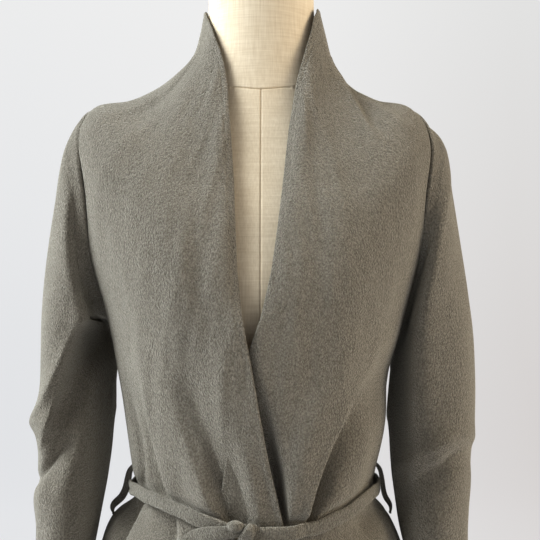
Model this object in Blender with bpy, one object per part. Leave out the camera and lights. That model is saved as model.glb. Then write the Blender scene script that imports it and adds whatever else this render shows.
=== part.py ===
"""A wrap cardigan coat of boiled wool with a narrow tie belt, worn by a limbless linen dress form on a stand.

Metres, +Z up. The front faces -Y and +X is to the right of someone who looks at the front.
The origin is on the floor, in the middle of the stand's base.

The coat is one surface of rings round the body. A place on it is an angle (0 in front, 90 degrees at
the right side of the view, 180 at the back) and a level, a row number in SECTIONS. Each cut piece is a
stretch of that surface between its seams, with a wall's thickness and the folds of its piece.
"""
import bpy
import numpy as np

# Cloth and seams
WALL = 0.0020
SEAM_STEP = 0.00022
BELT_WIDTH = 0.0135
BELT_THICKNESS = 0.0042
LOOP_WIDTH = 0.0085
LOOP_THICKNESS = 0.0026

# The overlap of the two fronts: the over front lifts between two distances from the under edge, and
# the under front sinks from a reach past the over edge on. Both fade out between two heights.
LAP_LIFT = 0.0040
LAP_RAMP_START = 0.045
LAP_RAMP_END = 0.012
LAP_TOP = 1.200
LAP_FULL = 1.155
UNDER_DROP = 0.0035
UNDER_REACH = 0.012
UNDER_RAMP = 0.020

# The free edges roll in above the overlap, up to the collar
ROLL_WIDTH = 0.018
ROLL_DEPTH = 0.0045
ROLL_RAMP = 0.030
ROLL_TOP = 1.440
ROLL_TOP_RAMP = 0.040

# Stand and the form's ends
BASE_RADIUS = 0.165
BASE_HEIGHT = 0.022
BASE_EDGE = 0.004
BOSS_RADIUS = 0.030
BOSS_HEIGHT = 0.018
POLE_RADIUS = 0.0145
STAND_GAP = 0.0003
FORM_BOTTOM = 0.800
FORM_SQUARE = 2.1
FORM_BOTTOM_RINGS = ((0.93, 0.000), (0.98, 0.004), (1.00, 0.014))

# The form carries the coat along the shoulder seams: gap, levels of rise, and how near the seam (a sine)
SEAT_GAP = 0.0005
SEAT_RISE = 1.2
SEAT_FROM = 0.90

# Rings of the coat from hem to collar. z in front, at the side and behind; half widths to the left and
# the right of the view; depths in front and behind; squareness (2 is an ellipse); the form inside.
SECTION_COLUMNS = (
    "z_front", "z_side", "z_back", "left", "right", "front", "back", "square",
    "form_wide", "form_front", "form_back")
SECTIONS = {
    "hem":          (0.460, 0.460, 0.460, 0.232, 0.226, 0.172, 0.172, 2.20, 0.146, 0.100, 0.110),
    "knee":         (0.600, 0.600, 0.600, 0.217, 0.209, 0.164, 0.163, 2.20, 0.146, 0.100, 0.110),
    "thigh":        (0.740, 0.740, 0.740, 0.198, 0.185, 0.154, 0.150, 2.20, 0.146, 0.100, 0.110),
    "hip":          (0.860, 0.865, 0.860, 0.178, 0.158, 0.143, 0.132, 2.20, 0.142, 0.098, 0.108),
    "high_hip":     (0.912, 0.920, 0.915, 0.168, 0.147, 0.134, 0.117, 2.20, 0.132, 0.094, 0.098),
    "skirt_top":    (0.938, 0.953, 0.945, 0.155, 0.134, 0.125, 0.104, 2.20, 0.120, 0.091, 0.088),
    "belt_low":     (0.958, 0.972, 0.968, 0.132, 0.119, 0.1165, 0.089, 2.20, 0.110, 0.088, 0.079),
    "belt_high":    (0.977, 0.991, 0.987, 0.130, 0.1175, 0.1160, 0.088, 2.20, 0.106, 0.086, 0.077),
    "waist":        (1.003, 1.012, 1.005, 0.134, 0.1190, 0.1180, 0.088, 2.20, 0.107, 0.086, 0.077),
    "high_waist":   (1.055, 1.055, 1.045, 0.1395, 0.1255, 0.1215, 0.091, 2.25, 0.113, 0.090, 0.082),
    "under_bust":   (1.110, 1.110, 1.095, 0.1475, 0.1330, 0.1220, 0.096, 2.30, 0.124, 0.097, 0.088),
    "armpit":       (1.160, 1.165, 1.150, 0.1585, 0.1480, 0.1210, 0.101, 2.30, 0.136, 0.106, 0.094),
    "bust":         (1.200, 1.225, 1.200, 0.1765, 0.1650, 0.1170, 0.105, 2.35, 0.145, 0.107, 0.098),
    "chest":        (1.238, 1.288, 1.250, 0.1870, 0.1755, 0.1085, 0.108, 2.50, 0.150, 0.099, 0.101),
    "armhole_top":  (1.265, 1.343, 1.295, 0.1895, 0.1770, 0.1010, 0.108, 2.60, 0.154, 0.092, 0.101),
    "shoulder_tip": (1.290, 1.378, 1.335, 0.1735, 0.1540, 0.0925, 0.105, 2.50, 0.139, 0.084, 0.094),
    "shoulder_out": (1.316, 1.386, 1.366, 0.1370, 0.1200, 0.0845, 0.102, 2.30, 0.108, 0.076, 0.088),
    "shoulder_in":  (1.343, 1.398, 1.394, 0.1100, 0.0970, 0.0780, 0.097, 2.15, 0.086, 0.068, 0.080),
    "collar_foot":  (1.371, 1.413, 1.416, 0.0895, 0.0815, 0.0710, 0.089, 2.05, 0.071, 0.061, 0.071),
    "neck_base":    (1.400, 1.432, 1.436, 0.0710, 0.0725, 0.0660, 0.080, 2.00, 0.062, 0.056, 0.066),
    "collar_mid":   (1.438, 1.456, 1.463, 0.0630, 0.0665, 0.0590, 0.071, 2.00, 0.0565, 0.053, 0.060),
    "collar_top":   (1.470, 1.480, 1.489, 0.0590, 0.0610, 0.0570, 0.066, 2.00, 0.0550, 0.052, 0.056),
}

# Neck of the form above the collar: height and size of each ring, as a share of the neck's
NECK_RINGS = ((1.497, 0.990), (1.508, 0.965), (1.516, 0.88), (1.521, 0.66), (1.5235, 0.33))
NECK_TOP = 1.5245

# Front edges in the front view: height, then x of the over edge (right front) and the under edge
EDGE_COLUMNS = ("z", "over", "under")
EDGES = (
    (0.460, 0.062, -0.062), (0.700, 0.048, -0.055), (0.900, 0.030, -0.046), (0.974, 0.021, -0.042),
    (1.029, 0.009, -0.033), (1.076, 0.000, -0.024), (1.138, -0.011, -0.010), (1.166, -0.016, 0.000),
    (1.210, -0.021, 0.010), (1.254, -0.023, 0.016), (1.296, -0.025, 0.021), (1.350, -0.029, 0.0275),
    (1.393, -0.033, 0.035), (1.420, -0.038, 0.042), (1.448, -0.047, 0.0495), (1.465, -0.0545, 0.0535),
    (1.477, -0.0585, 0.0575), (1.500, -0.0650, 0.0640))

# Armhole: how far the seam swings off the side line, in degrees, in front and behind
ARMHOLE_SWING_FRONT = 24.0
ARMHOLE_SWING_BACK = 17.0
ARMHOLE_SKEW = 1.25
ARMHOLE_FULLNESS = 0.8
ARMHOLE_STEPS = 8

# How fast the folds of the fronts and the back fade towards the side seams
FOLD_BLEND = 3.0

# Folds of the fronts and the back in the front view. A fold runs from its top to its low end, is
# deepest at the share "peak" of its length, and has its own half width on each side. Depth is outwards.
FOLD_COLUMNS = (
    "piece", "x_top", "z_top", "x_mid", "z_mid", "x_low", "z_low", "to_left", "to_right", "depth", "peak")
FOLDS = {
    "bust_left":       ("fronts", -0.090, 1.290, -0.088, 1.200, -0.084, 1.090, 0.045, 0.045, 0.0050, 0.50),
    "bust_right":      ("fronts", 0.086, 1.290, 0.084, 1.200, 0.080, 1.090, 0.045, 0.042, 0.0050, 0.50),
    "side_ridge":      ("fronts", -0.120, 1.160, -0.104, 1.060, -0.086, 0.985, 0.012, 0.012, 0.0040, 0.60),
    "left_ridge":      ("fronts", -0.078, 1.075, -0.060, 1.025, -0.047, 0.975, 0.012, 0.010, 0.0035, 0.50),
    "left_trough":     ("fronts", -0.079, 1.150, -0.052, 1.054, -0.021, 0.945, 0.012, 0.015, -0.0120, 0.80),
    "lap_ridge":       ("fronts", -0.056, 1.140, -0.022, 1.054, 0.000, 0.975, 0.013, 0.013, 0.0055, 0.55),
    "lap_shadow":      ("front_left", 0.002, 1.130, 0.019, 1.040, 0.024, 0.950, 0.018, 0.013, -0.0120, 0.80),
    "right_ridge":     ("fronts", 0.074, 1.130, 0.050, 1.066, 0.030, 0.975, 0.012, 0.013, 0.0065, 0.55),
    "pleat_ridge":     ("fronts", 0.108, 1.140, 0.072, 1.066, 0.046, 0.975, 0.012, 0.009, 0.0065, 0.60),
    "right_trough":    ("fronts", 0.120, 1.110, 0.082, 1.048, 0.052, 0.945, 0.009, 0.014, -0.0115, 0.70),
    "right_side_band": ("fronts", 0.118, 1.100, 0.096, 1.043, 0.070, 0.978, 0.010, 0.012, 0.0035, 0.50),
    "skirt_edge_fold": ("fronts", -0.076, 0.965, -0.082, 0.850, -0.086, 0.600, 0.012, 0.020, -0.0080, 0.30),
    "skirt_right_dip": ("fronts", 0.086, 0.960, 0.098, 0.820, 0.104, 0.560, 0.018, 0.018, -0.0080, 0.35),
    "skirt_far_dip":   ("fronts", -0.135, 0.955, -0.150, 0.820, -0.160, 0.600, 0.014, 0.018, -0.0080, 0.30),
    "back_left_1":     ("back", -0.104, 1.150, -0.082, 1.060, -0.066, 0.965, 0.014, 0.012, -0.0075, 0.75),
    "back_left_2":     ("back", -0.050, 1.120, -0.040, 1.050, -0.028, 0.955, 0.011, 0.014, -0.0085, 0.80),
    "back_right_1":    ("back", 0.092, 1.130, 0.078, 1.055, 0.070, 0.955, 0.013, 0.012, -0.0080, 0.70),
    "back_right_2":    ("back", 0.032, 1.160, 0.024, 1.060, 0.018, 0.965, 0.012, 0.012, -0.0065, 0.75),
    "back_skirt_1":    ("back", -0.090, 0.965, -0.104, 0.840, -0.112, 0.560, 0.018, 0.020, -0.0085, 0.30),
    "back_skirt_2":    ("back", 0.004, 0.962, 0.008, 0.850, 0.014, 0.600, 0.016, 0.018, -0.0080, 0.35),
    "back_skirt_3":    ("back", 0.084, 0.965, 0.102, 0.830, 0.112, 0.540, 0.018, 0.018, -0.0085, 0.30),
}

# Flutes of the skirt: waves round the hem, sideways shift and height at the hem
FLUTES = ((5, 0.55, 0.0085), (8, -0.80, 0.0065), (3, 2.10, 0.0045))
FLUTE_TOP = 0.930

# Sleeves: outer and inner point of each ring in the front view, middle and half depth, squareness.
# x is the distance from the middle plane. The first ring is the armhole itself.
SLEEVE_COLUMNS = ("x_out", "z_out", "x_in", "z_in", "y_mid", "half_depth", "square")
SLEEVE_LEFT = {
    "armhole":   (0.1735, 1.378, 0.1585, 1.165, 0.000, 0.052, 2.0),
    "cap_1":     (0.1870, 1.366, 0.1600, 1.153, 0.002, 0.057, 2.0),
    "cap_2":     (0.1975, 1.349, 0.1575, 1.143, 0.003, 0.062, 2.1),
    "cap_3":     (0.2050, 1.325, 0.1550, 1.134, 0.004, 0.065, 2.2),
    "cap_4":     (0.2115, 1.290, 0.1530, 1.124, 0.004, 0.066, 2.2),
    "biceps":    (0.2190, 1.240, 0.1550, 1.110, 0.004, 0.065, 2.2),
    "arm_1":     (0.2255, 1.190, 0.1560, 1.092, 0.003, 0.063, 2.2),
    "arm_2":     (0.2280, 1.140, 0.1560, 1.072, 0.001, 0.061, 2.2),
    "elbow_1":   (0.2285, 1.090, 0.1575, 1.048, -0.002, 0.059, 2.2),
    "elbow_2":   (0.2325, 1.055, 0.1590, 1.024, -0.005, 0.058, 2.2),
    "elbow_3":   (0.2290, 1.022, 0.1615, 1.004, -0.008, 0.057, 2.2),
    "forearm_1": (0.2310, 0.990, 0.1645, 0.980, -0.012, 0.055, 2.2),
    "forearm_2": (0.2275, 0.955, 0.1690, 0.950, -0.017, 0.053, 2.2),
    "forearm_3": (0.2300, 0.915, 0.1750, 0.912, -0.022, 0.050, 2.2),
    "forearm_4": (0.2340, 0.875, 0.1810, 0.873, -0.026, 0.048, 2.2),
    "wrist":     (0.2390, 0.835, 0.1870, 0.834, -0.029, 0.046, 2.2),
    "cuff":      (0.2440, 0.800, 0.1920, 0.800, -0.031, 0.045, 2.2),
}
SLEEVE_RIGHT = {
    "armhole":   (0.1540, 1.378, 0.1480, 1.165, 0.000, 0.052, 2.0),
    "cap_1":     (0.1690, 1.364, 0.1490, 1.152, 0.002, 0.057, 2.0),
    "cap_2":     (0.1830, 1.352, 0.1460, 1.140, 0.003, 0.062, 2.1),
    "cap_3":     (0.1940, 1.327, 0.1430, 1.128, 0.004, 0.065, 2.2),
    "cap_4":     (0.1985, 1.292, 0.1395, 1.115, 0.004, 0.066, 2.2),
    "biceps":    (0.2060, 1.240, 0.1370, 1.100, 0.004, 0.065, 2.2),
    "arm_1":     (0.2145, 1.190, 0.1350, 1.083, 0.003, 0.063, 2.2),
    "arm_2":     (0.2200, 1.140, 0.1340, 1.062, 0.001, 0.061, 2.2),
    "elbow_1":   (0.2215, 1.090, 0.1350, 1.040, -0.002, 0.059, 2.2),
    "elbow_2":   (0.2200, 1.050, 0.1360, 1.018, -0.005, 0.058, 2.2),
    "elbow_3":   (0.2175, 1.020, 0.1370, 1.000, -0.008, 0.057, 2.2),
    "forearm_1": (0.2140, 0.990, 0.1390, 0.978, -0.012, 0.055, 2.2),
    "forearm_2": (0.2090, 0.955, 0.1430, 0.948, -0.017, 0.053, 2.2),
    "forearm_3": (0.2100, 0.915, 0.1520, 0.911, -0.022, 0.050, 2.2),
    "forearm_4": (0.2150, 0.875, 0.1600, 0.873, -0.026, 0.048, 2.2),
    "wrist":     (0.2200, 0.835, 0.1670, 0.834, -0.029, 0.046, 2.2),
    "cuff":      (0.2250, 0.800, 0.1725, 0.800, -0.031, 0.045, 2.2),
}
# Rows between the named rings of a sleeve, finer where the elbow folds are
SLEEVE_ROWS = (0, 1, 2, 3, 4, 5, 6, 6.5, 7, 7.5, 8, 8.5, 9, 9.5, 10, 10.5, 11, 12, 13, 14, 15, 16)
SLEEVE_SEAT_FADE = (1.0, 0.75, 0.45, 0.20)

# Folds of the sleeves in the front view, x as on the arm: from the inner to the outer end. They fade
# past their ends, and towards the half of the sleeve that they don't face (1 is the front half).
SLEEVE_FOLD_REACH = 0.62
SLEEVE_FACING_START = 0.002
SLEEVE_FACING_RAMP = 0.030
SLEEVE_FOLD_COLUMNS = ("side", "x_in", "z_in", "x_out", "z_out", "above", "below", "depth", "facing")
SLEEVE_FOLDS = {
    "left_shelf":    ("left", 0.165, 1.165, 0.225, 1.095, 0.022, 0.012, 0.0050, 1),
    "left_hollow":   ("left", 0.155, 1.120, 0.222, 1.070, 0.016, 0.022, -0.0100, 1),
    "left_knuckle":  ("left", 0.190, 1.052, 0.235, 1.048, 0.014, 0.012, 0.0040, 1),
    "left_crease":   ("left", 0.170, 1.026, 0.232, 1.006, 0.010, 0.010, -0.0065, 1),
    "right_ridge":   ("right", 0.140, 1.006, 0.200, 1.040, 0.012, 0.009, 0.0055, 1),
    "right_hollow":  ("right", 0.150, 0.985, 0.205, 1.015, 0.012, 0.020, -0.0080, 1),
    "left_back_1":   ("left", 0.165, 1.100, 0.225, 1.120, 0.014, 0.016, -0.0070, -1),
    "left_back_2":   ("left", 0.170, 1.030, 0.232, 1.045, 0.012, 0.014, -0.0060, -1),
    "left_back_3":   ("left", 0.175, 0.960, 0.232, 0.975, 0.013, 0.014, -0.0050, -1),
    "right_back_1":  ("right", 0.150, 1.085, 0.215, 1.110, 0.014, 0.016, -0.0070, -1),
    "right_back_2":  ("right", 0.150, 1.015, 0.212, 1.030, 0.012, 0.014, -0.0060, -1),
    "left_wrist":    ("left", 0.178, 0.905, 0.228, 0.890, 0.014, 0.014, -0.0045, 1),
    "right_wrist":   ("right", 0.150, 0.895, 0.205, 0.912, 0.014, 0.014, -0.0045, 1),
}

# Belt: by the angle in degrees, how far it rises over the middle of the belt rings and how far its inner
# face stands off the smooth coat; how it steps down past the over edge; where its ends meet the knot
BELT_COLUMNS = ("angle", "rise", "ease")
BELT_LINE = (
    (-180, 0.0040, 0.0016), (-120, 0.0045, 0.0016), (-90, 0.0050, 0.0014), (-72, 0.0115, 0.0040),
    (-60, 0.0165, 0.0046), (-46, 0.0168, 0.0034), (-35, 0.0145, 0.0024), (-26, 0.0120, 0.0018),
    (-19, 0.0092, 0.0016), (-14, 0.0064, 0.0016), (-8, 0.0030, 0.0016), (0, 0.0010, 0.0016),
    (19, 0.0014, 0.0016), (26, 0.0028, 0.0016), (35, 0.0057, 0.0018), (45, 0.0085, 0.0022),
    (55, 0.0118, 0.0024), (65, 0.0122, 0.0024), (75, 0.0102, 0.0022), (90, 0.0066, 0.0016),
    (120, 0.0050, 0.0016), (180, 0.0040, 0.0016))
BELT_EDGE_REACH = 0.020
BELT_EDGE_RAMP = 0.012
BELT_STEPS = 56
BELT_END_LEFT = -0.0284
BELT_END_RIGHT = -0.0036

# Knot and free ends in the front view: x, z, how far the middle stands off the front, width, thickness
STRAP_COLUMNS = ("x", "z", "off", "width", "thickness")
KNOT = (
    (-0.0160, 0.9820, 0.0040, 0.0160, 0.0050), (-0.0160, 0.9800, 0.0056, 0.0210, 0.0080),
    (-0.0160, 0.9730, 0.0074, 0.0240, 0.0115), (-0.0160, 0.9650, 0.0076, 0.0240, 0.0120),
    (-0.0162, 0.9570, 0.0062, 0.0210, 0.0095), (-0.0164, 0.9530, 0.0047, 0.0160, 0.0060))
END_RIGHT = (
    (-0.0170, 0.9508, 0.0042, 0.0130, 0.0045), (-0.0195, 0.9350, 0.0033, 0.0150, 0.0042),
    (-0.0190, 0.9000, 0.0031, 0.0155, 0.0042), (-0.0120, 0.8400, 0.0031, 0.0155, 0.0042),
    (-0.0040, 0.7600, 0.0031, 0.0155, 0.0042), (-0.0040, 0.6800, 0.0031, 0.0155, 0.0042),
    (-0.0060, 0.6100, 0.0031, 0.0150, 0.0042))
END_LEFT = (
    (-0.0300, 0.9690, 0.0086, 0.0110, 0.0042), (-0.0400, 0.9680, 0.0086, 0.0125, 0.0042),
    (-0.0500, 0.9655, 0.0082, 0.0135, 0.0042), (-0.0600, 0.9600, 0.0066, 0.0140, 0.0042),
    (-0.0680, 0.9500, 0.0046, 0.0145, 0.0042), (-0.0715, 0.9330, 0.0036, 0.0150, 0.0042),
    (-0.0710, 0.8800, 0.0034, 0.0155, 0.0042), (-0.0680, 0.8000, 0.0034, 0.0155, 0.0042),
    (-0.0650, 0.7200, 0.0034, 0.0155, 0.0042), (-0.0650, 0.6400, 0.0034, 0.0150, 0.0042))

# Belt loops, from the coat above the belt to the skirt below it: height, and how far the middle of the
# loop is from the coat's side seam
LOOP_COLUMNS = ("z", "off")
LOOP_LEFT = (
    (1.0050, 0.0016), (0.9975, 0.0076), (0.9860, 0.0112), (0.9740, 0.0145), (0.9650, 0.0140), (0.9555, 0.0022))
LOOP_RIGHT = (
    (1.0070, 0.0018), (1.0000, 0.0068), (0.9880, 0.0094), (0.9740, 0.0112), (0.9650, 0.0104), (0.9560, 0.0028))

SKIRT_LEVELS = 6
FRONT_COLUMNS = 14
BACK_COLUMNS = 16
NECK_STEPS = 8
SHOULDER_STEPS = 5
FORM_SIDES = 24
TURNED_SIDES = 32
STRAP_SIDES = 8
STRAP_SQUARE = 0.7
COLUMN_CROWD = 0.35
TURN_STEP = 0.008
LEVEL_STEP = 0.03
SLOPE_STEP = 0.004
HALVINGS = 40

WOOL = (0.150, 0.135, 0.108)
LINEN = (0.600, 0.520, 0.390)
DARK_WOOD = (0.090, 0.055, 0.032)
STEEL = (0.300, 0.300, 0.300)

NAMES = tuple(SECTIONS)
TABLE = np.array([SECTIONS[name] for name in NAMES])
EDGE_TABLE = np.array(EDGES)


def level(name):
    """Row number of a named section."""
    return float(NAMES.index(name))


def smooth(share):
    """0 up to 0, 1 from 1 on, a soft step between."""
    share = np.clip(share, 0.0, 1.0)
    return share * share * (3.0 - 2.0 * share)


def spline_rows(table, place):
    """Rows of a table at fractional row numbers, on a smooth curve through the rows."""
    place = np.clip(np.asarray(place, dtype=float), 0.0, len(table) - 1.0)
    row = np.minimum(place.astype(int), len(table) - 2)
    share = (place - row)[..., None]
    before = table[np.maximum(row - 1, 0)]
    here = table[row]
    there = table[row + 1]
    after = table[np.minimum(row + 2, len(table) - 1)]
    start_slope = (there - before) / 2.0
    end_slope = (after - here) / 2.0
    square, cube = share ** 2, share ** 3
    return ((2 * cube - 3 * square + 1) * here + (cube - 2 * square + share) * start_slope
            + (3 * square - 2 * cube) * there + (cube - square) * end_slope)


def sizes_at(place):
    """Named sizes of the ring at a level."""
    rows = spline_rows(TABLE, place)
    return {name: rows[..., i] for i, name in enumerate(SECTION_COLUMNS)}


def ring_point(angle, place, inside=False):
    """Point of the smooth coat, or of the form inside it, at an angle and a level."""
    size = sizes_at(place)
    sine, cosine = np.sin(angle), np.cos(angle)
    power = 2.0 / (FORM_SQUARE if inside else size["square"])
    across = np.sign(sine) * np.abs(sine) ** power
    along = np.abs(cosine) ** power
    ahead = cosine > 0
    if inside:
        half = size["form_wide"]
        depth = np.where(ahead, -size["form_front"], size["form_back"])
    else:
        half = np.where(sine > 0, size["right"], size["left"])
        depth = np.where(ahead, -size["front"], size["back"])
    end_height = np.where(ahead, size["z_front"], size["z_back"])
    height = size["z_side"] + (end_height - size["z_side"]) * cosine ** 2
    return np.stack([half * across, depth * along, height], axis=-1)


def unit(vectors):
    """Vectors brought to length 1."""
    return vectors / np.maximum(np.linalg.norm(vectors, axis=-1, keepdims=True), 1e-12)


def normals_of(surface, angle, place):
    """Outward normals of a surface given by angle and level."""
    round_it = surface(angle + TURN_STEP, place) - surface(angle - TURN_STEP, place)
    up_it = surface(angle, place + LEVEL_STEP) - surface(angle, place - LEVEL_STEP)
    return unit(np.cross(round_it, up_it))


def edge_x(which, height):
    """x of a front's free edge at a height, in the front view."""
    return np.interp(height, EDGE_TABLE[:, 0], EDGE_TABLE[:, EDGE_COLUMNS.index(which)])


def fold_height(points, angle, piece):
    """How far the folds move the points outwards."""
    x, z = points[..., 0], points[..., 2]
    half = "back" if piece == "back" else "fronts"
    share = smooth(np.cos(angle) * (-FOLD_BLEND if piece == "back" else FOLD_BLEND))
    total = np.zeros_like(x)
    for row in FOLDS.values():
        fold = dict(zip(FOLD_COLUMNS, row))
        if fold["piece"] not in (piece, half):
            continue
        middle = np.interp(z, (fold["z_low"], fold["z_mid"], fold["z_top"]),
                           (fold["x_low"], fold["x_mid"], fold["x_top"]))
        run = (fold["z_top"] - z) / (fold["z_top"] - fold["z_low"])
        size = smooth(run / fold["peak"]) * smooth((1.0 - run) / (1.0 - fold["peak"]))
        off = x - middle
        wide = np.where(off < 0, fold["to_left"], fold["to_right"])
        total = total + fold["depth"] * share * size * np.exp(-(off / wide) ** 2)
    return total


def flute_height(points, angle):
    """Waves of the skirt, growing towards the hem."""
    grow = smooth((FLUTE_TOP - points[..., 2]) / (FLUTE_TOP - TABLE[0, 0]))
    return grow * sum(size * np.cos(count * angle + shift) for count, shift, size in FLUTES)


def lap_height(points, piece):
    """The over front stands off the under front; the under front sinks a little under it."""
    x, z = points[..., 0], points[..., 2]
    start = edge_x("under", z) - LAP_RAMP_START
    beside = smooth((x - start) / (LAP_RAMP_START - LAP_RAMP_END))
    below = smooth((LAP_TOP - z) / (LAP_TOP - LAP_FULL))
    if piece == "front_right":
        return LAP_LIFT * beside * below
    under = smooth((edge_x("over", z) + UNDER_REACH - x) / UNDER_RAMP)
    return -UNDER_DROP * under * below


def roll_height(points, angle, piece):
    """The free edges roll in towards the body above the overlap."""
    x, z = points[..., 0], points[..., 2]
    which = "over" if piece == "front_right" else "under"
    inside = (edge_x("over", z) - x) if which == "over" else (x - edge_x("under", z))
    near = np.clip(1.0 - inside / ROLL_WIDTH, 0.0, 1.0) ** 2
    above = smooth((z - LAP_FULL) / ROLL_RAMP) * smooth((ROLL_TOP - z) / ROLL_TOP_RAMP)
    return -ROLL_DEPTH * near * above * (np.cos(angle) > 0)


def coat_surface(piece):
    """The outer face of a cut piece as a function of angle and level."""
    def surface(angle, place):
        base = ring_point(angle, place)
        height = fold_height(base, angle, piece) + flute_height(base, angle)
        if piece != "back":
            height = height + lap_height(base, piece) + roll_height(base, angle, piece)
        return base + normals_of(ring_point, angle, place) * height[..., None]
    return surface


def level_at_height(angle, height, low, high):
    """Level between two rows where the smooth coat has a height at an angle."""
    for _ in range(HALVINGS):
        middle = (low + high) / 2.0
        if ring_point(angle, middle)[2] < height:
            low = middle
        else:
            high = middle
    return (low + high) / 2.0


def edge_angle(which, place):
    """Angle at which a front's free edge crosses a level."""
    side = -1.0 if which == "over" else 1.0
    low, high = -1.2, 3.0
    for _ in range(HALVINGS):
        middle = (low + high) / 2.0
        point = ring_point(side * middle, place)
        if side * point[0] < side * edge_x(which, point[2]):
            low = middle
        else:
            high = middle
    return side * (low + high) / 2.0


def side_levels():
    """Levels of the rows along the side seam, from hem to armpit."""
    skirt = np.linspace(0.0, level("hip"), SKIRT_LEVELS)
    upper = [level(name) for name in ("high_hip", "skirt_top", "belt_low", "belt_high", "waist")]
    steps = np.arange(level("waist") + 0.5, level("armpit") + 0.01, 0.5)
    return np.concatenate([skirt, upper, steps])


def armhole_places(swing):
    """Angle off the middle and level of each armhole point, from armpit to shoulder tip."""
    places = []
    for step in range(1, ARMHOLE_STEPS + 1):
        share = (1.0 - np.cos(np.pi * step / ARMHOLE_STEPS)) / 2.0
        bend = max(np.sin(np.pi * share ** ARMHOLE_SKEW), 0.0) ** ARMHOLE_FULLNESS
        angle = np.radians(90.0 + swing * bend)
        low, high = SECTIONS["armpit"][1], SECTIONS["shoulder_tip"][1]
        height = low + (high - low) * share
        if step == ARMHOLE_STEPS:
            places.append((angle, level("shoulder_tip")))
        else:
            places.append((angle, level_at_height(angle, height, level("armpit") - 1, level("collar_foot"))))
    return places


def shoulder_levels():
    """Levels of the rows along the shoulder seam, from the tip to the neck."""
    return np.linspace(level("shoulder_tip"), level("neck_base"), SHOULDER_STEPS + 1)[1:]


def front_places(side, which):
    """Angle and level of each grid point of a front: a row from its seam to its free edge."""
    ends = []
    for place in side_levels():
        ends.append((side * np.pi / 2, place, edge_angle(which, place), place))
    top, tip = level("armpit"), level("shoulder_tip")
    for step, (angle, place) in enumerate(armhole_places(-ARMHOLE_SWING_FRONT), 1):
        edge_level = top + (tip - top) * step / ARMHOLE_STEPS
        ends.append((side * angle, place, edge_angle(which, edge_level), edge_level))
    for place in shoulder_levels():
        ends.append((side * np.pi / 2, place, edge_angle(which, place), place))
    neck = level("neck_base")
    start = abs(edge_angle(which, neck))
    for step in range(1, NECK_STEPS + 1):
        share = step / NECK_STEPS
        edge_turn = start + (np.pi - start) * share
        low, high = neck, level("collar_top")
        for _ in range(HALVINGS):
            middle = (low + high) / 2.0
            point = ring_point(side * edge_turn, middle)
            if edge_turn > np.pi / 2 or abs(point[0]) > abs(edge_x(which, point[2])):
                low = middle
            else:
                high = middle
        ends.append((side * (np.pi / 2) * (1 + share), neck, side * edge_turn, low))
    ends = np.array(ends)
    share = np.linspace(0.0, 1.0, FRONT_COLUMNS + 1)
    share = share + COLUMN_CROWD * share * (1.0 - share)
    angle = ends[:, 0:1] + (ends[:, 2:3] - ends[:, 0:1]) * share
    place = ends[:, 1:2] + (ends[:, 3:4] - ends[:, 1:2]) * share
    return angle, place


def back_places():
    """Angle and level of each grid point of the back: a row from the right side to the left side."""
    ends = [(np.pi / 2, place) for place in side_levels()]
    ends += armhole_places(ARMHOLE_SWING_BACK)
    ends += [(np.pi / 2, place) for place in shoulder_levels()]
    ends = np.array(ends)
    share = np.linspace(0.0, 1.0, BACK_COLUMNS + 1)
    angle = ends[:, 0:1] + (2 * np.pi - 2 * ends[:, 0:1]) * share
    place = np.repeat(ends[:, 1:2], BACK_COLUMNS + 1, axis=1)
    return angle, place


def add_object(name, vertices, faces, colour, roughness=0.9, metallic=0.0):
    """A smooth-shaded mesh object with its own material."""
    mesh = bpy.data.meshes.new(name)
    mesh.from_pydata([tuple(map(float, v)) for v in vertices], [], faces)
    mesh.validate()
    mesh.update()
    mesh.shade_smooth()
    mesh.set_sharp_from_angle(angle=np.radians(50.0))
    thing = bpy.data.objects.new(name, mesh)
    bpy.context.scene.collection.objects.link(thing)
    material = bpy.data.materials.new(name + "_finish")
    material.use_nodes = True
    shader = material.node_tree.nodes["Principled BSDF"]
    shader.inputs["Base Color"].default_value = (*colour, 1.0)
    shader.inputs["Roughness"].default_value = roughness
    shader.inputs["Metallic"].default_value = metallic
    mesh.materials.append(material)
    return thing


def shell_faces(rows, columns, wrap):
    """Faces of a wall with an outer grid, an inner grid and closed rims."""
    def outer(i, j):
        return i * columns + j % columns

    def inner(i, j):
        return rows * columns + outer(i, j)

    faces = []
    spans = columns if wrap else columns - 1
    for i in range(rows - 1):
        for j in range(spans):
            faces.append((outer(i, j), outer(i, j + 1), outer(i + 1, j + 1), outer(i + 1, j)))
            faces.append((inner(i, j), inner(i + 1, j), inner(i + 1, j + 1), inner(i, j + 1)))
    for j in range(spans):
        faces.append((outer(0, j), inner(0, j), inner(0, j + 1), outer(0, j + 1)))
        last = rows - 1
        faces.append((outer(last, j), outer(last, j + 1), inner(last, j + 1), inner(last, j)))
    if not wrap:
        for i in range(rows - 1):
            faces.append((outer(i, 0), outer(i + 1, 0), inner(i + 1, 0), inner(i, 0)))
            end = columns - 1
            faces.append((outer(i, end), inner(i, end), inner(i + 1, end), outer(i + 1, end)))
    return faces


def pull_in(grid, step):
    """Moves the border points of a grid a little way inwards along its rows and columns."""
    moved = grid.copy()
    moved[:, 0] += unit(grid[:, 1] - grid[:, 0]) * step
    moved[:, -1] += unit(grid[:, -2] - grid[:, -1]) * step
    moved[0] += unit(grid[1] - grid[0]) * step
    moved[-1] += unit(grid[-2] - grid[-1]) * step
    return moved


def add_panel(name, places, flip=False):
    """A cut piece of the coat as a closed wall."""
    angle, place = places
    if flip:
        angle, place = angle[:, ::-1], place[:, ::-1]
    surface = coat_surface(name)
    outer = surface(angle, place)
    inner = outer - normals_of(surface, angle, place) * WALL
    outer = pull_in(outer, SEAM_STEP)
    inner = pull_in(inner, SEAM_STEP)
    rows, columns = angle.shape
    vertices = np.concatenate([outer.reshape(-1, 3), inner.reshape(-1, 3)])
    return add_object(name, vertices, shell_faces(rows, columns, False), WOOL)


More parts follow.
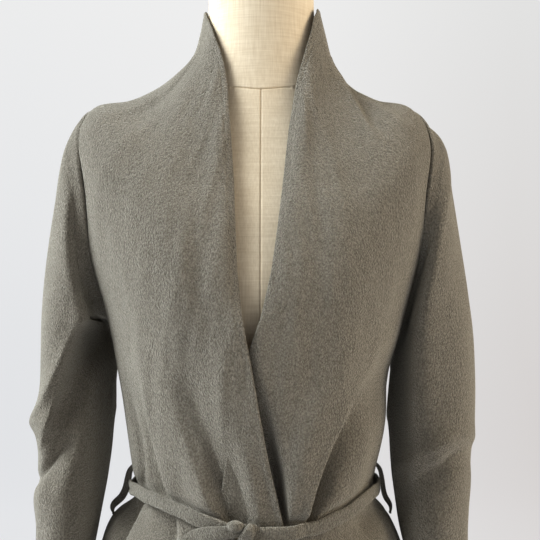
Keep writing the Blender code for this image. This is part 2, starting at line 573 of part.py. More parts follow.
def sleeve_fold_height(points, side):
    """How far the sleeve's folds move its points, by where they are in the front view."""
    x, y, z = np.abs(points[..., 0]), points[..., 1], points[..., 2]
    total = np.zeros_like(x)
    for row in SLEEVE_FOLDS.values():
        fold = dict(zip(SLEEVE_FOLD_COLUMNS, row))
        if fold["side"] != side:
            continue
        span = fold["x_out"] - fold["x_in"]
        share = (x - fold["x_in"]) / span
        line = fold["z_in"] + (fold["z_out"] - fold["z_in"]) * share
        ends = np.exp(-((share - 0.5) / SLEEVE_FOLD_REACH) ** 4)
        off = z - line
        wide = np.where(off > 0, fold["above"], fold["below"])
        facing = smooth((-fold["facing"] * y - SLEEVE_FACING_START) / SLEEVE_FACING_RAMP)
        total = total + fold["depth"] * ends * facing * np.exp(-(off / wide) ** 2)
    return total


def sleeve_rings(table, side, steps):
    """Grid of a sleeve: a row for each ring, from the armhole to the cuff, starting on top."""
    sizes = np.array([table[name] for name in table])
    places = np.array(SLEEVE_ROWS, dtype=float)
    turn = np.pi * np.arange(2 * steps) / steps
    rows = spline_rows(sizes, places)
    size = {name: rows[:, i:i + 1] for i, name in enumerate(SLEEVE_COLUMNS)}
    power = 2.0 / size["square"]
    out_share = np.sign(np.cos(turn)) * np.abs(np.cos(turn)) ** power
    deep_share = np.sign(np.sin(turn)) * np.abs(np.sin(turn)) ** power
    x = (size["x_out"] + size["x_in"]) / 2 + (size["x_out"] - size["x_in"]) / 2 * out_share
    z = (size["z_out"] + size["z_in"]) / 2 + (size["z_out"] - size["z_in"]) / 2 * out_share
    y = size["y_mid"] - size["half_depth"] * deep_share
    return np.stack([side * x, y, z], axis=-1), places


def grid_normals(grid, sign):
    """Normals of a tube's grid from its neighbours, times a sign."""
    round_it = np.roll(grid, -1, axis=1) - np.roll(grid, 1, axis=1)
    along = np.empty_like(grid)
    along[1:-1] = grid[2:] - grid[:-2]
    along[0] = grid[1] - grid[0]
    along[-1] = grid[-1] - grid[-2]
    return unit(np.cross(round_it, along)) * sign


def armhole_loop(side):
    """Armhole points from the top down the front and up the back, and the way out of the armhole."""
    front = [(np.pi / 2, level("armpit"))] + armhole_places(-ARMHOLE_SWING_FRONT)
    back = [(np.pi / 2, level("armpit"))] + armhole_places(ARMHOLE_SWING_BACK)
    loop = front[::-1] + back[1:-1]
    angle = side * np.array([a for a, _ in loop])
    place = np.array([p for _, p in loop])
    points = ring_point(angle, place)
    normals = normals_of(ring_point, angle, place)
    along = np.roll(points, -1, axis=0) - np.roll(points, 1, axis=0)
    way = unit(np.cross(along, normals))
    middle = points.mean(axis=0)
    away = np.sign((way * (points - middle + np.array([side * 0.5, 0, 0]))).sum(axis=1))
    return points, way * away[:, None]


def add_sleeve(name, table, side):
    """A sleeve as a closed wall from the armhole to the cuff."""
    rings, places = sleeve_rings(table, side, ARMHOLE_STEPS)
    points, way = armhole_loop(side)
    points = points + way * 2 * SEAM_STEP
    miss = points - rings[0]
    for row, fade in enumerate(SLEEVE_SEAT_FADE):
        rings[row] += miss * fade
    normals = grid_normals(rings, side)
    settle = smooth((places - 0.5) / 2.0)[:, None] * smooth(places[-1] - places + 0.2)[:, None]
    height = sleeve_fold_height(rings, "left" if side < 0 else "right") * settle
    rings = rings + normals * height[..., None]
    inner = rings - grid_normals(rings, side) * WALL
    if side < 0:
        rings, inner = rings[:, ::-1], inner[:, ::-1]
    rows, columns = rings.shape[:2]
    vertices = np.concatenate([rings.reshape(-1, 3), inner.reshape(-1, 3)])
    return add_object(name, vertices, shell_faces(rows, columns, True), WOOL)


def front_y(x, z):
    """y of the over front's outer face, or of the smooth lapped front where a fold dips, at x and z."""
    surface = coat_surface("front_right")
    angle, place = 0.0, level("waist")
    for _ in range(6):
        place = level_at_height(angle, z, 0.0, level("chest"))
        size = sizes_at(place)
        half = size["right"] if x > 0 else size["left"]
        angle = np.sign(x) * np.arcsin(np.clip(abs(x) / half, 0, 1) ** (size["square"] / 2.0))
    smooth_y = ring_point(angle, place)[1] - LAP_LIFT
    return min(smooth_y, surface(np.array([angle]), np.array([place]))[0, 1])


def add_strap(name, centres, faces_out, widths, thicknesses, colour=WOOL):
    """A flat strap with rounded edges along a line. faces_out is the direction of its broad face."""
    centres, faces_out = np.array(centres), unit(np.array(faces_out))
    along = np.gradient(centres, axis=0)
    across = unit(np.cross(along, faces_out))
    faces_out = unit(np.cross(across, along))
    turn = 2 * np.pi * (np.arange(STRAP_SIDES) + 0.5) / STRAP_SIDES
    wide = np.sign(np.cos(turn)) * np.abs(np.cos(turn)) ** STRAP_SQUARE
    deep = np.sign(np.sin(turn)) * np.abs(np.sin(turn)) ** STRAP_SQUARE
    half_wide = np.broadcast_to(widths, len(centres))[:, None, None] / 2
    half_deep = np.broadcast_to(thicknesses, len(centres))[:, None, None] / 2
    rings = (centres[:, None] + across[:, None] * half_wide * wide[None, :, None]
             + faces_out[:, None] * half_deep * deep[None, :, None])
    count, sides = rings.shape[:2]
    faces = []
    for i in range(count - 1):
        for j in range(sides):
            k = (j + 1) % sides
            faces.append((i * sides + j, i * sides + k, (i + 1) * sides + k, (i + 1) * sides + j))
    faces.append(tuple(range(sides))[::-1])
    faces.append(tuple((count - 1) * sides + j for j in range(sides)))
    if np.dot(np.cross(across[0], faces_out[0]), along[0]) < 0:
        faces = [face[::-1] for face in faces]
    return add_object(name, rings.reshape(-1, 3), faces, colour)


def add_front_strap(name, rows):
    """A strap that lies on the front, from a table in the front view."""
    table = spline_rows(np.array(rows), np.linspace(0, len(rows) - 1, 2 * len(rows) - 1))
    centres, outward = [], []
    for x, z, off, _, _ in table:
        y = front_y(x, z)
        slope = (front_y(x, z + SLOPE_STEP) - front_y(x, z - SLOPE_STEP)) / (2 * SLOPE_STEP)
        lean = unit(np.array([0.0, -1.0, slope]))
        centres.append(np.array([x, y, z]) + lean * off)
        outward.append(lean)
    return add_strap(name, centres, outward, table[:, 3], table[:, 4])


def add_belt():
    """The belt, from the left of the knot round the back to its right."""
    middle = (level("belt_low") + level("belt_high")) / 2.0
    ahead = np.linspace(-np.pi / 4, np.pi / 4, 2001)
    ahead_x = ring_point(ahead, np.full_like(ahead, middle))[:, 0]
    first = np.interp(BELT_END_RIGHT, ahead_x, ahead)
    last = np.interp(BELT_END_LEFT, ahead_x, ahead) + 2 * np.pi
    angle = np.linspace(first, last, BELT_STEPS)
    line = np.array(BELT_LINE)
    turn = np.degrees((angle + np.pi) % (2 * np.pi) - np.pi)
    rise, ease = np.interp(turn, line[:, 0], line[:, 1]), np.interp(turn, line[:, 0], line[:, 2])
    heights = ring_point(angle, np.full_like(angle, middle))[:, 2] + rise
    place = np.array([
        level_at_height(*spot, middle - 1, level("high_waist")) for spot in zip(angle, heights)])
    points = ring_point(angle, place)
    outward = normals_of(ring_point, angle, place)
    outward[:, 2] = 0.0
    outward = unit(outward)
    lap = lap_height(points, "front_right") * (np.cos(angle) > 0)
    past_edge = smooth((edge_x("over", points[:, 2]) + BELT_EDGE_REACH - points[:, 0]) / BELT_EDGE_RAMP)
    off = lap * past_edge + ease + BELT_THICKNESS / 2
    centres = points + outward * off[:, None]
    return add_strap("belt", centres, outward, BELT_WIDTH, BELT_THICKNESS)


def add_loop(name, rows, side):
    """A belt loop at a side seam, standing off the coat and over the belt."""
    line = spline_rows(np.array(rows), np.linspace(0, len(rows) - 1, 2 * len(rows) - 1))
    centres = []
    for height, off in line:
        seam = ring_point(side * np.pi / 2, level_at_height(side * np.pi / 2, height, 0.0, level("chest")))
        centres.append((seam[0] + side * off, 0.0, height))
    along = np.gradient(np.array(centres), axis=0)
    outward = side * np.stack([-along[:, 2], along[:, 1], along[:, 0]], axis=-1)
    return add_strap(name, centres, outward, LOOP_WIDTH, LOOP_THICKNESS)


def form_ring(turn, place):
    """A ring of the form. On the shoulders it comes up to carry the coat along the seam."""
    inside = ring_point(turn, place, inside=True)
    outer = ring_point(turn, place)
    carried = outer - normals_of(ring_point, turn, place) * (WALL + SEAT_GAP)
    rise = smooth((place - level("armhole_top")) / SEAT_RISE)
    fall = smooth((level("neck_base") - place) / SEAT_RISE)
    near_seam = smooth((np.abs(np.sin(turn)) - SEAT_FROM) / (1.0 - SEAT_FROM))
    share = (rise * fall * near_seam)[..., None]
    return inside * (1 - share) + carried * share


def add_form():
    """The dress form: torso and neck in one closed body."""
    turn = 2 * np.pi * np.arange(FORM_SIDES) / FORM_SIDES
    first = level("thigh") + (FORM_BOTTOM - SECTIONS["thigh"][0]) / (
        SECTIONS["hip"][0] - SECTIONS["thigh"][0])
    torso = np.arange(level("hip"), level("shoulder_tip") + 0.01, 1.0)
    neck = np.array([level("neck_base") + 0.5, level("collar_mid"), level("collar_top")])
    rings = []
    bottom = form_ring(turn, np.full_like(turn, first))
    bottom[:, 2] = FORM_BOTTOM
    for scale, lift in FORM_BOTTOM_RINGS:
        ring = bottom * np.array([scale, scale, 1.0])
        ring[:, 2] += lift
        rings.append(ring)
    for place in np.concatenate([torso, shoulder_levels(), neck]):
        rings.append(form_ring(turn, np.full_like(turn, place)))
    top = rings[-1]
    for height, scale in NECK_RINGS:
        ring = top * scale
        ring[:, 2] = height
        rings.append(ring)
    vertices = list(np.concatenate(rings))
    sides, count = FORM_SIDES, len(rings)
    faces = []
    for i in range(count - 1):
        for j in range(sides):
            k = (j + 1) % sides
            faces.append((i * sides + j, i * sides + k, (i + 1) * sides + k, (i + 1) * sides + j))
    vertices.append((0.0, 0.0, FORM_BOTTOM))
    vertices.append((0.0, 0.0, NECK_TOP))
    for j in range(sides):
        k = (j + 1) % sides
        faces.append((j, len(vertices) - 2, k))
        faces.append(((count - 1) * sides + j, (count - 1) * sides + k, len(vertices) - 1))
    return add_object("form_body", vertices, faces, LINEN)


def add_turned(name, profile, colour, roughness, metallic):
    """A turned solid from its profile of radius and height, bottom to top."""
    vertices = [(0.0, 0.0, profile[0][1])]
    faces = []
    sides = TURNED_SIDES
    for radius, height in profile:
        for j in range(sides):
            turn = 2 * np.pi * j / sides
            vertices.append((radius * np.cos(turn), radius * np.sin(turn), height))
    vertices.append((0.0, 0.0, profile[-1][1]))
    for j in range(sides):
        k = (j + 1) % sides
        faces.append((0, 1 + k, 1 + j))
        for i in range(len(profile) - 1):
            low, high = 1 + i * sides, 1 + (i + 1) * sides
            faces.append((low + j, low + k, high + k, high + j))
        last = 1 + (len(profile) - 1) * sides
        faces.append((last + j, last + k, len(vertices) - 1))
    return add_object(name, vertices, faces, colour, roughness, metallic)


def add_stand():
    """A round base and the pole that carries the form."""
    boss_top = BASE_HEIGHT + BOSS_HEIGHT
    base = (
        (BASE_RADIUS - BASE_EDGE, 0.0), (BASE_RADIUS, BASE_EDGE), (BASE_RADIUS, BASE_HEIGHT - 2 * BASE_EDGE),
        (BASE_RADIUS - 2 * BASE_EDGE, BASE_HEIGHT), (BOSS_RADIUS + BASE_EDGE, BASE_HEIGHT + BASE_EDGE / 2),
        (BOSS_RADIUS, BASE_HEIGHT + 3 * BASE_EDGE / 2), (BOSS_RADIUS - BASE_EDGE, boss_top))
    add_turned("stand_base", base, DARK_WOOD, 0.45, 0.0)
    pole = ((POLE_RADIUS, boss_top + STAND_GAP), (POLE_RADIUS, FORM_BOTTOM - STAND_GAP))
    add_turned("stand_pole", pole, STEEL, 0.3, 1.0)


def main():
    """Builds every piece in an empty scene."""
    for thing in list(bpy.data.objects):
        bpy.data.objects.remove(thing, do_unlink=True)
    add_panel("front_right", front_places(-1, "over"))
    add_panel("front_left", front_places(1, "under"), flip=True)
    add_panel("back", back_places())
    add_sleeve("sleeve_right", SLEEVE_LEFT, -1)
    add_sleeve("sleeve_left", SLEEVE_RIGHT, 1)
    add_belt()
    add_front_strap("belt_knot", KNOT)
    add_front_strap("belt_end_right", END_RIGHT)
    add_front_strap("belt_end_left", END_LEFT)
    add_loop("loop_right", LOOP_LEFT, -1)
    add_loop("loop_left", LOOP_RIGHT, 1)
    add_form()
    add_stand()


main()
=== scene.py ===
"""The looks of a wrap cardigan coat of boiled wool on a linen dress form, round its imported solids.

Metres, +Z up, the front faces -Y. The cloth is built on the same rings and seams as the solids. Folds are
given in the main picture (540 by 540, pixels from its upper left corner), where the camera sees the front.
"left" and "right" are the picture's, except in the names of nodes and pieces of the fronts, the sleeves and
the loops, which are the wearer's.
"""
import bpy
import numpy as np
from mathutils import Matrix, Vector

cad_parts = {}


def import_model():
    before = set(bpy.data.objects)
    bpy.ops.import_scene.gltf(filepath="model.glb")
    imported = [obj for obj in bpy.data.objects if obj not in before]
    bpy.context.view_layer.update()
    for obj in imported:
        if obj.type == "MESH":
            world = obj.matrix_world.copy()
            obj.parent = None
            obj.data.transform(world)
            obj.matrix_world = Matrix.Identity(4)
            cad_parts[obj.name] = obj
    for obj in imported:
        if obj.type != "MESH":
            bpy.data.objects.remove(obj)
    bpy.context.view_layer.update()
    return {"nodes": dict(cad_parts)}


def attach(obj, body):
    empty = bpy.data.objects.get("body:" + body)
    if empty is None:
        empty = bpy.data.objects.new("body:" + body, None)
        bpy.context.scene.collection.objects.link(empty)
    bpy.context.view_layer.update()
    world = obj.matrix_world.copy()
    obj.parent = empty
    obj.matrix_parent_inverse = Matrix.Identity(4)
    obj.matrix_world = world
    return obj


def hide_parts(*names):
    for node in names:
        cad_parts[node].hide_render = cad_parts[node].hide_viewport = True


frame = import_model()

# The main camera
CAMERA = (0.009, -0.950, 1.210)
LENS = 60.4
SENSOR = 36.0
PICTURE = 540
FRONT_Y = -0.118

# The cloth's wall, its rims and its seams
WALL = 0.0020
SEAM_STEP = 0.00006
RIM = 0.0011
RIM_FLOOR = 0.04
SEAM_DIP = 0.0006
SEAM_DIP_WIDTH = 0.0013
SEAM_ROLL = 0.0005
SEAM_ROLL_PLACE = 0.0045
SEAM_ROLL_WIDTH = 0.0028

# Lines of stitching: how far from the edge, how wide and how deep
STITCH_COLUMNS = ("place", "width", "dip")
HEM_STITCH = (0.030, 0.0014, 0.0006)
CUFF_STITCH = (0.028, 0.0014, 0.0006)
EDGE_STITCH = (0.0065, 0.0012, 0.0004)

# The overlap of the fronts, and the roll of their edges above it
LAP_LIFT = 0.0040
LAP_RAMP_START = 0.045
LAP_RAMP_END = 0.012
LAP_TOP = 1.200
LAP_FULL = 1.155
UNDER_DROP = 0.0035
UNDER_REACH = 0.012
UNDER_RAMP = 0.020
ROLL_WIDTH = 0.018
ROLL_DEPTH = 0.0045
ROLL_RAMP = 0.030
ROLL_TOP = 1.440
ROLL_TOP_RAMP = 0.040

# Straps: the belt, its knot and ends, and the loops
BELT_WIDTH = 0.0135
BELT_THICKNESS = 0.0042
BELT_GROOVE = 0.00060
BELT_GROOVE_LEFT = 0.00160
BELT_FULLER_LEFT = 0.12
BELT_STEPS = 420
BELT_AHEAD_STEPS = 2001
BELT_LEFT_SLOPE = 4.0
BELT_LEFT_SHIFT = 0.4
BELT_LEFT_END = -0.2
BELT_START_X = -0.0150
BELT_END_X = -0.0215
WAVE_COLUMNS = ("size", "count", "shift")
BELT_WANDER = ((0.0004, 9.0, 0.0), (0.0003, 23.0, 1.0))
BELT_WIDTH_WAVE = (0.03, 13.0, 0.5)
LOOP_WIDTH = 0.0085
LOOP_THICKNESS = 0.0026
LOOP_GROOVE = 0.0003
LOOP_STEPS = 60
LOOP_TWIST_POWER = 0.6
STRAP_POWER = 0.7
STRAP_END_SHARE = 0.80
STRAP_END_STEP = 0.0006
GROOVE_PLACE = 0.08
GROOVE_WIDTH = 0.20

# The dress form
FORM_BOTTOM = 0.800
FORM_SQUARE = 2.1
FORM_BOTTOM_RINGS = ((0.93, 0.000), (0.98, 0.004), (1.00, 0.014))
SEAT_GAP = 0.0005
SEAT_RISE = 1.2
SEAT_FROM = 0.90
FORM_ROWS = 210
SEAM_ROWS = 61
SEAM_ROWS_REACH = 0.12
DOME_ROWS = 36
DOME_BLEND = 8.0
COVER_SEAM_WIDTH = 0.0007
CENTRE_SEAM_X = 0.0002
CENTRE_SEAM_DIP = 0.0012
CENTRE_SEAM_TOP = 0.001
NECK_SEAM_DIP = 0.0014
NECK_SEAM_RISE = 0.0035
NECK_SEAM_RISE_WIDTH = 0.022
PRINCESS_X = 0.052
PRINCESS_SPREAD = 0.10
PRINCESS_WAIST = 1.16
PRINCESS_POWER = 1.2
PRINCESS_DIP = 0.00035
PRINCESS_WIDTH = 0.0012

# Rings of the coat and of the form inside it, from the hem to the collar's top

SECTION_COLUMNS = (
    "z_front", "z_side", "z_back", "left", "right", "front", "back", "square",
    "form_wide", "form_front", "form_back")
SECTIONS = {
    "hem":          (0.460, 0.460, 0.460, 0.232, 0.226, 0.172, 0.172, 2.20, 0.146, 0.100, 0.110),
    "knee":         (0.600, 0.600, 0.600, 0.217, 0.209, 0.164, 0.163, 2.20, 0.146, 0.100, 0.110),
    "thigh":        (0.740, 0.740, 0.740, 0.198, 0.185, 0.154, 0.150, 2.20, 0.146, 0.100, 0.110),
    "hip":          (0.860, 0.865, 0.860, 0.178, 0.158, 0.143, 0.132, 2.20, 0.142, 0.098, 0.108),
    "high_hip":     (0.912, 0.920, 0.915, 0.168, 0.147, 0.134, 0.117, 2.20, 0.132, 0.094, 0.098),
    "skirt_top":    (0.938, 0.953, 0.945, 0.155, 0.134, 0.125, 0.104, 2.20, 0.120, 0.091, 0.088),
    "belt_low":     (0.958, 0.972, 0.968, 0.132, 0.119, 0.1165, 0.089, 2.20, 0.110, 0.088, 0.079),
    "belt_high":    (0.977, 0.991, 0.987, 0.130, 0.1175, 0.1160, 0.088, 2.20, 0.106, 0.086, 0.077),
    "waist":        (1.003, 1.012, 1.005, 0.134, 0.1190, 0.1180, 0.088, 2.20, 0.107, 0.086, 0.077),
    "high_waist":   (1.055, 1.055, 1.045, 0.1395, 0.1255, 0.1215, 0.091, 2.25, 0.113, 0.090, 0.082),
    "under_bust":   (1.110, 1.110, 1.095, 0.1475, 0.1330, 0.1220, 0.096, 2.30, 0.124, 0.097, 0.088),
    "armpit":       (1.160, 1.165, 1.150, 0.1585, 0.1480, 0.1210, 0.101, 2.30, 0.136, 0.106, 0.094),
    "bust":         (1.200, 1.225, 1.200, 0.1765, 0.1650, 0.1170, 0.105, 2.35, 0.145, 0.107, 0.098),
    "chest":        (1.238, 1.288, 1.250, 0.1870, 0.1755, 0.1085, 0.108, 2.50, 0.150, 0.099, 0.101),
    "armhole_top":  (1.265, 1.343, 1.295, 0.1895, 0.1770, 0.1010, 0.108, 2.60, 0.154, 0.092, 0.101),
    "shoulder_tip": (1.290, 1.378, 1.335, 0.1735, 0.1540, 0.0925, 0.105, 2.50, 0.139, 0.084, 0.094),
    "shoulder_out": (1.316, 1.386, 1.366, 0.1370, 0.1200, 0.0845, 0.102, 2.30, 0.108, 0.076, 0.088),
    "shoulder_in":  (1.343, 1.398, 1.394, 0.1100, 0.0970, 0.0780, 0.097, 2.15, 0.086, 0.068, 0.080),
    "collar_foot":  (1.371, 1.413, 1.416, 0.0895, 0.0815, 0.0710, 0.089, 2.05, 0.071, 0.061, 0.071),
    "neck_base":    (1.400, 1.432, 1.436, 0.0710, 0.0725, 0.0660, 0.080, 2.00, 0.062, 0.056, 0.066),
    "collar_mid":   (1.438, 1.456, 1.463, 0.0630, 0.0665, 0.0590, 0.071, 2.00, 0.0565, 0.053, 0.060),
    "collar_top":   (1.470, 1.480, 1.489, 0.0590, 0.0610, 0.0570, 0.066, 2.00, 0.0550, 0.052, 0.056),
}
NECK_RINGS = ((1.497, 0.990), (1.508, 0.965), (1.516, 0.88), (1.521, 0.66), (1.5235, 0.33))
NECK_TOP = 1.5245

# The free edges of the fronts: x at a height
EDGE_COLUMNS = ("z", "over", "under")
EDGES = (
    (0.460, 0.062, -0.062), (0.700, 0.048, -0.055), (0.900, 0.030, -0.046), (0.974, 0.021, -0.042),
    (1.029, 0.009, -0.033), (1.076, 0.000, -0.024), (1.138, -0.011, -0.010), (1.166, -0.016, 0.000),
    (1.210, -0.021, 0.010), (1.254, -0.023, 0.016), (1.296, -0.025, 0.021), (1.350, -0.029, 0.0275),
    (1.393, -0.033, 0.035), (1.420, -0.038, 0.042), (1.448, -0.047, 0.0495), (1.465, -0.0545, 0.0535),
    (1.477, -0.0585, 0.0575), (1.500, -0.0650, 0.0640))

ARMHOLE_SWING_FRONT = 24.0
ARMHOLE_SWING_BACK = 17.0
ARMHOLE_SKEW = 1.25
ARMHOLE_FULLNESS = 0.8
FOLD_BLEND = 3.0
FLUTES = ((5, 0.55, 0.0085), (8, -0.80, 0.0065), (3, 2.10, 0.0045))
FLUTE_TOP = 0.930

# Rings of the sleeves, from the armhole to the cuff: outer and inner side of each, then what both share
SLEEVE_SIDE_COLUMNS = ("x_out", "z_out", "x_in", "z_in")
SLEEVE_LEFT = {
    "armhole":   (0.1735, 1.378, 0.1585, 1.165),
    "cap_1":     (0.1870, 1.366, 0.1600, 1.153),
    "cap_2":     (0.1975, 1.349, 0.1575, 1.143),
    "cap_3":     (0.2050, 1.325, 0.1550, 1.134),
    "cap_4":     (0.2115, 1.290, 0.1530, 1.124),
    "biceps":    (0.2190, 1.240, 0.1550, 1.110),
    "arm_1":     (0.2255, 1.190, 0.1560, 1.092),
    "arm_2":     (0.2280, 1.140, 0.1560, 1.072),
    "elbow_1":   (0.2285, 1.090, 0.1575, 1.048),
    "elbow_2":   (0.2325, 1.055, 0.1590, 1.024),
    "elbow_3":   (0.2290, 1.022, 0.1615, 1.004),
    "forearm_1": (0.2310, 0.990, 0.1645, 0.980),
    "forearm_2": (0.2275, 0.955, 0.1690, 0.950),
    "forearm_3": (0.2300, 0.915, 0.1750, 0.912),
    "forearm_4": (0.2340, 0.875, 0.1810, 0.873),
    "wrist":     (0.2390, 0.835, 0.1870, 0.834),
    "cuff":      (0.2440, 0.800, 0.1920, 0.800),
}
SLEEVE_RIGHT = {
    "armhole":   (0.1540, 1.378, 0.1480, 1.165),
    "cap_1":     (0.1690, 1.364, 0.1490, 1.152),
    "cap_2":     (0.1830, 1.352, 0.1460, 1.140),
    "cap_3":     (0.1940, 1.327, 0.1430, 1.128),
    "cap_4":     (0.1985, 1.292, 0.1395, 1.115),
    "biceps":    (0.2060, 1.240, 0.1370, 1.100),
    "arm_1":     (0.2145, 1.190, 0.1350, 1.083),
    "arm_2":     (0.2200, 1.140, 0.1340, 1.062),
    "elbow_1":   (0.2215, 1.090, 0.1350, 1.040),
    "elbow_2":   (0.2200, 1.050, 0.1360, 1.018),
    "elbow_3":   (0.2175, 1.020, 0.1370, 1.000),
    "forearm_1": (0.2140, 0.990, 0.1390, 0.978),
    "forearm_2": (0.2090, 0.955, 0.1430, 0.948),
    "forearm_3": (0.2100, 0.915, 0.1520, 0.911),
    "forearm_4": (0.2150, 0.875, 0.1600, 0.873),
    "wrist":     (0.2200, 0.835, 0.1670, 0.834),
    "cuff":      (0.2250, 0.800, 0.1725, 0.800),
}
SLEEVE_SHARED_COLUMNS = ("y_mid", "half_depth", "square")
SLEEVE_SHARED = {
    "armhole":   (0.000, 0.052, 2.0),
    "cap_1":     (0.002, 0.057, 2.0),
    "cap_2":     (0.003, 0.062, 2.1),
    "cap_3":     (0.004, 0.065, 2.2),
    "cap_4":     (0.004, 0.066, 2.2),
    "biceps":    (0.004, 0.065, 2.2),
    "arm_1":     (0.003, 0.063, 2.2),
    "arm_2":     (0.001, 0.061, 2.2),
    "elbow_1":   (-0.002, 0.059, 2.2),
    "elbow_2":   (-0.005, 0.058, 2.2),
    "elbow_3":   (-0.008, 0.057, 2.2),
    "forearm_1": (-0.012, 0.055, 2.2),
    "forearm_2": (-0.017, 0.053, 2.2),
    "forearm_3": (-0.022, 0.050, 2.2),
    "forearm_4": (-0.026, 0.048, 2.2),
    "wrist":     (-0.029, 0.046, 2.2),
    "cuff":      (-0.031, 0.045, 2.2),
}
SLEEVE_SEAT_FADE = (1.0, 0.75, 0.45, 0.20, 0.0)
SLEEVE_LAST_ROW = 0.05
CUFF_ROWS = (0.03, 0.015, 0.006, 0.0)
SETTLE_START = 0.5
SETTLE_RAMP = 2.0
SETTLE_CUFF = 0.2
SLEEVE_SEAM_DIP = -0.0003
SLEEVE_SEAM_ROLL = 0.0006

# The belt's line: degrees from the front, rise over the middle of the belt's rings, gap to the coat
BELT_COLUMNS = ("angle", "rise", "ease")
BELT_LINE = (
    (-180, 0.0040, 0.0016), (-120, 0.0045, 0.0016), (-90, 0.0050, 0.0014), (-72, 0.0115, 0.0040),
    (-60, 0.0165, 0.0046), (-46, 0.0168, 0.0034), (-35, 0.0145, 0.0024), (-26, 0.0120, 0.0018),
    (-19, 0.0092, 0.0016), (-14, 0.0064, 0.0016), (-8, 0.0030, 0.0016), (0, 0.0010, 0.0016),
    (19, 0.0014, 0.0016), (26, 0.0028, 0.0016), (35, 0.0057, 0.0018), (45, 0.0085, 0.0022),
    (55, 0.0118, 0.0024), (65, 0.0122, 0.0024), (75, 0.0102, 0.0022), (90, 0.0066, 0.0016),
    (120, 0.0050, 0.0016), (180, 0.0040, 0.0016))
BELT_PINCH = 0.0014
BELT_PINCH_REACH = 0.0105
BELT_EDGE_REACH = 0.020
BELT_EDGE_RAMP = 0.012
# The loops: height and distance from the side seam
LOOP_LEFT = (
    (1.0050, 0.0016), (0.9975, 0.0076), (0.9860, 0.0112), (0.9740, 0.0145), (0.9650, 0.0140),
    (0.9555, 0.0022))
LOOP_RIGHT = (
    (1.0070, 0.0018), (1.0000, 0.0068), (0.9880, 0.0094), (0.9740, 0.0112), (0.9650, 0.0104),
    (0.9560, 0.0028))
LOOP_TWIST_LEFT = 66.0
LOOP_TWIST_RIGHT = 36.0

# Stretches of strap that lie on the front: place in the picture, distance of the middle line from the
# cloth, width and thickness
STRAP_COLUMNS = ("across", "down", "stand_off", "width", "thickness")
STRAP_FRONT = 0.008
SLOPE_STEP = 0.004
KNOT_LUMP = (
    (229.8, 526.0, .0068, .0050, .0050), (231.0, 525.4, .0088, .0082, .0080),
    (234.0, 524.9, .0100, .0098, .0100), (237.5, 525.0, .0098, .0096, .0100),
    (240.6, 525.9, .0084, .0078, .0080), (242.4, 527.0, .0066, .0050, .0055))
KNOT_WRAP = (
    (250.6, 524.6, .0060, .0020, .0030), (250.4, 525.2, .0090, .0060, .0052),
    (249.6, 527.4, .0112, .0092, .0060), (248.4, 531.0, .0116, .0112, .0060),
    (246.6, 536.0, .0104, .0128, .0058), (245.0, 543.0, .0078, .0138, .0052),
    (244.0, 550.0, .0052, .0140, .0046))
KNOT_NECK = (
    (238.0, 530.6, .0078, .0100, .0046), (243.0, 529.6, .0078, .0104, .0050),
    (249.0, 529.8, .0064, .0110, .0046), (255.0, 531.4, .0044, .0118, .0040))
END_RIGHT = (
    (244.0, 549.0, .0042, .0135, .0044), (242.5, 566.0, .0036, .0150, .0042),
    (242.0, 606.0, .0036, .0155, .0042), (248.0, 670.0, .0036, .0155, .0042),
    (256.0, 756.0, .0036, .0155, .0042), (257.0, 842.0, .0036, .0155, .0042),
    (255.0, 918.0, .0036, .0152, .0042))
END_LEFT = (
    (241.0, 530.4, .0078, .0098, .0044), (234.0, 531.2, .0088, .0112, .0046),
    (226.0, 532.2, .0092, .0122, .0046), (216.0, 533.6, .0088, .0130, .0046),
    (205.0, 536.6, .0074, .0136, .0044), (194.5, 542.0, .0056, .0142, .0042),
    (186.0, 550.5, .0042, .0146, .0042), (181.5, 563.0, .0036, .0150, .0042),
    (180.0, 590.0, .0036, .0155, .0042), (181.5, 650.0, .0036, .0155, .0042),
    (185.0, 730.0, .0036, .0155, .0042), (189.0, 810.0, .0036, .0155, .0042),
    (189.0, 884.0, .0036, .0152, .0042))
KNOT_LUMP_STEPS = 28
KNOT_WRAP_STEPS = 44
KNOT_NECK_STEPS = 24
END_RIGHT_STEPS = 150
END_LEFT_STEPS = 190
KNOT_GROOVE = 0.0002
END_GROOVE = 0.0006

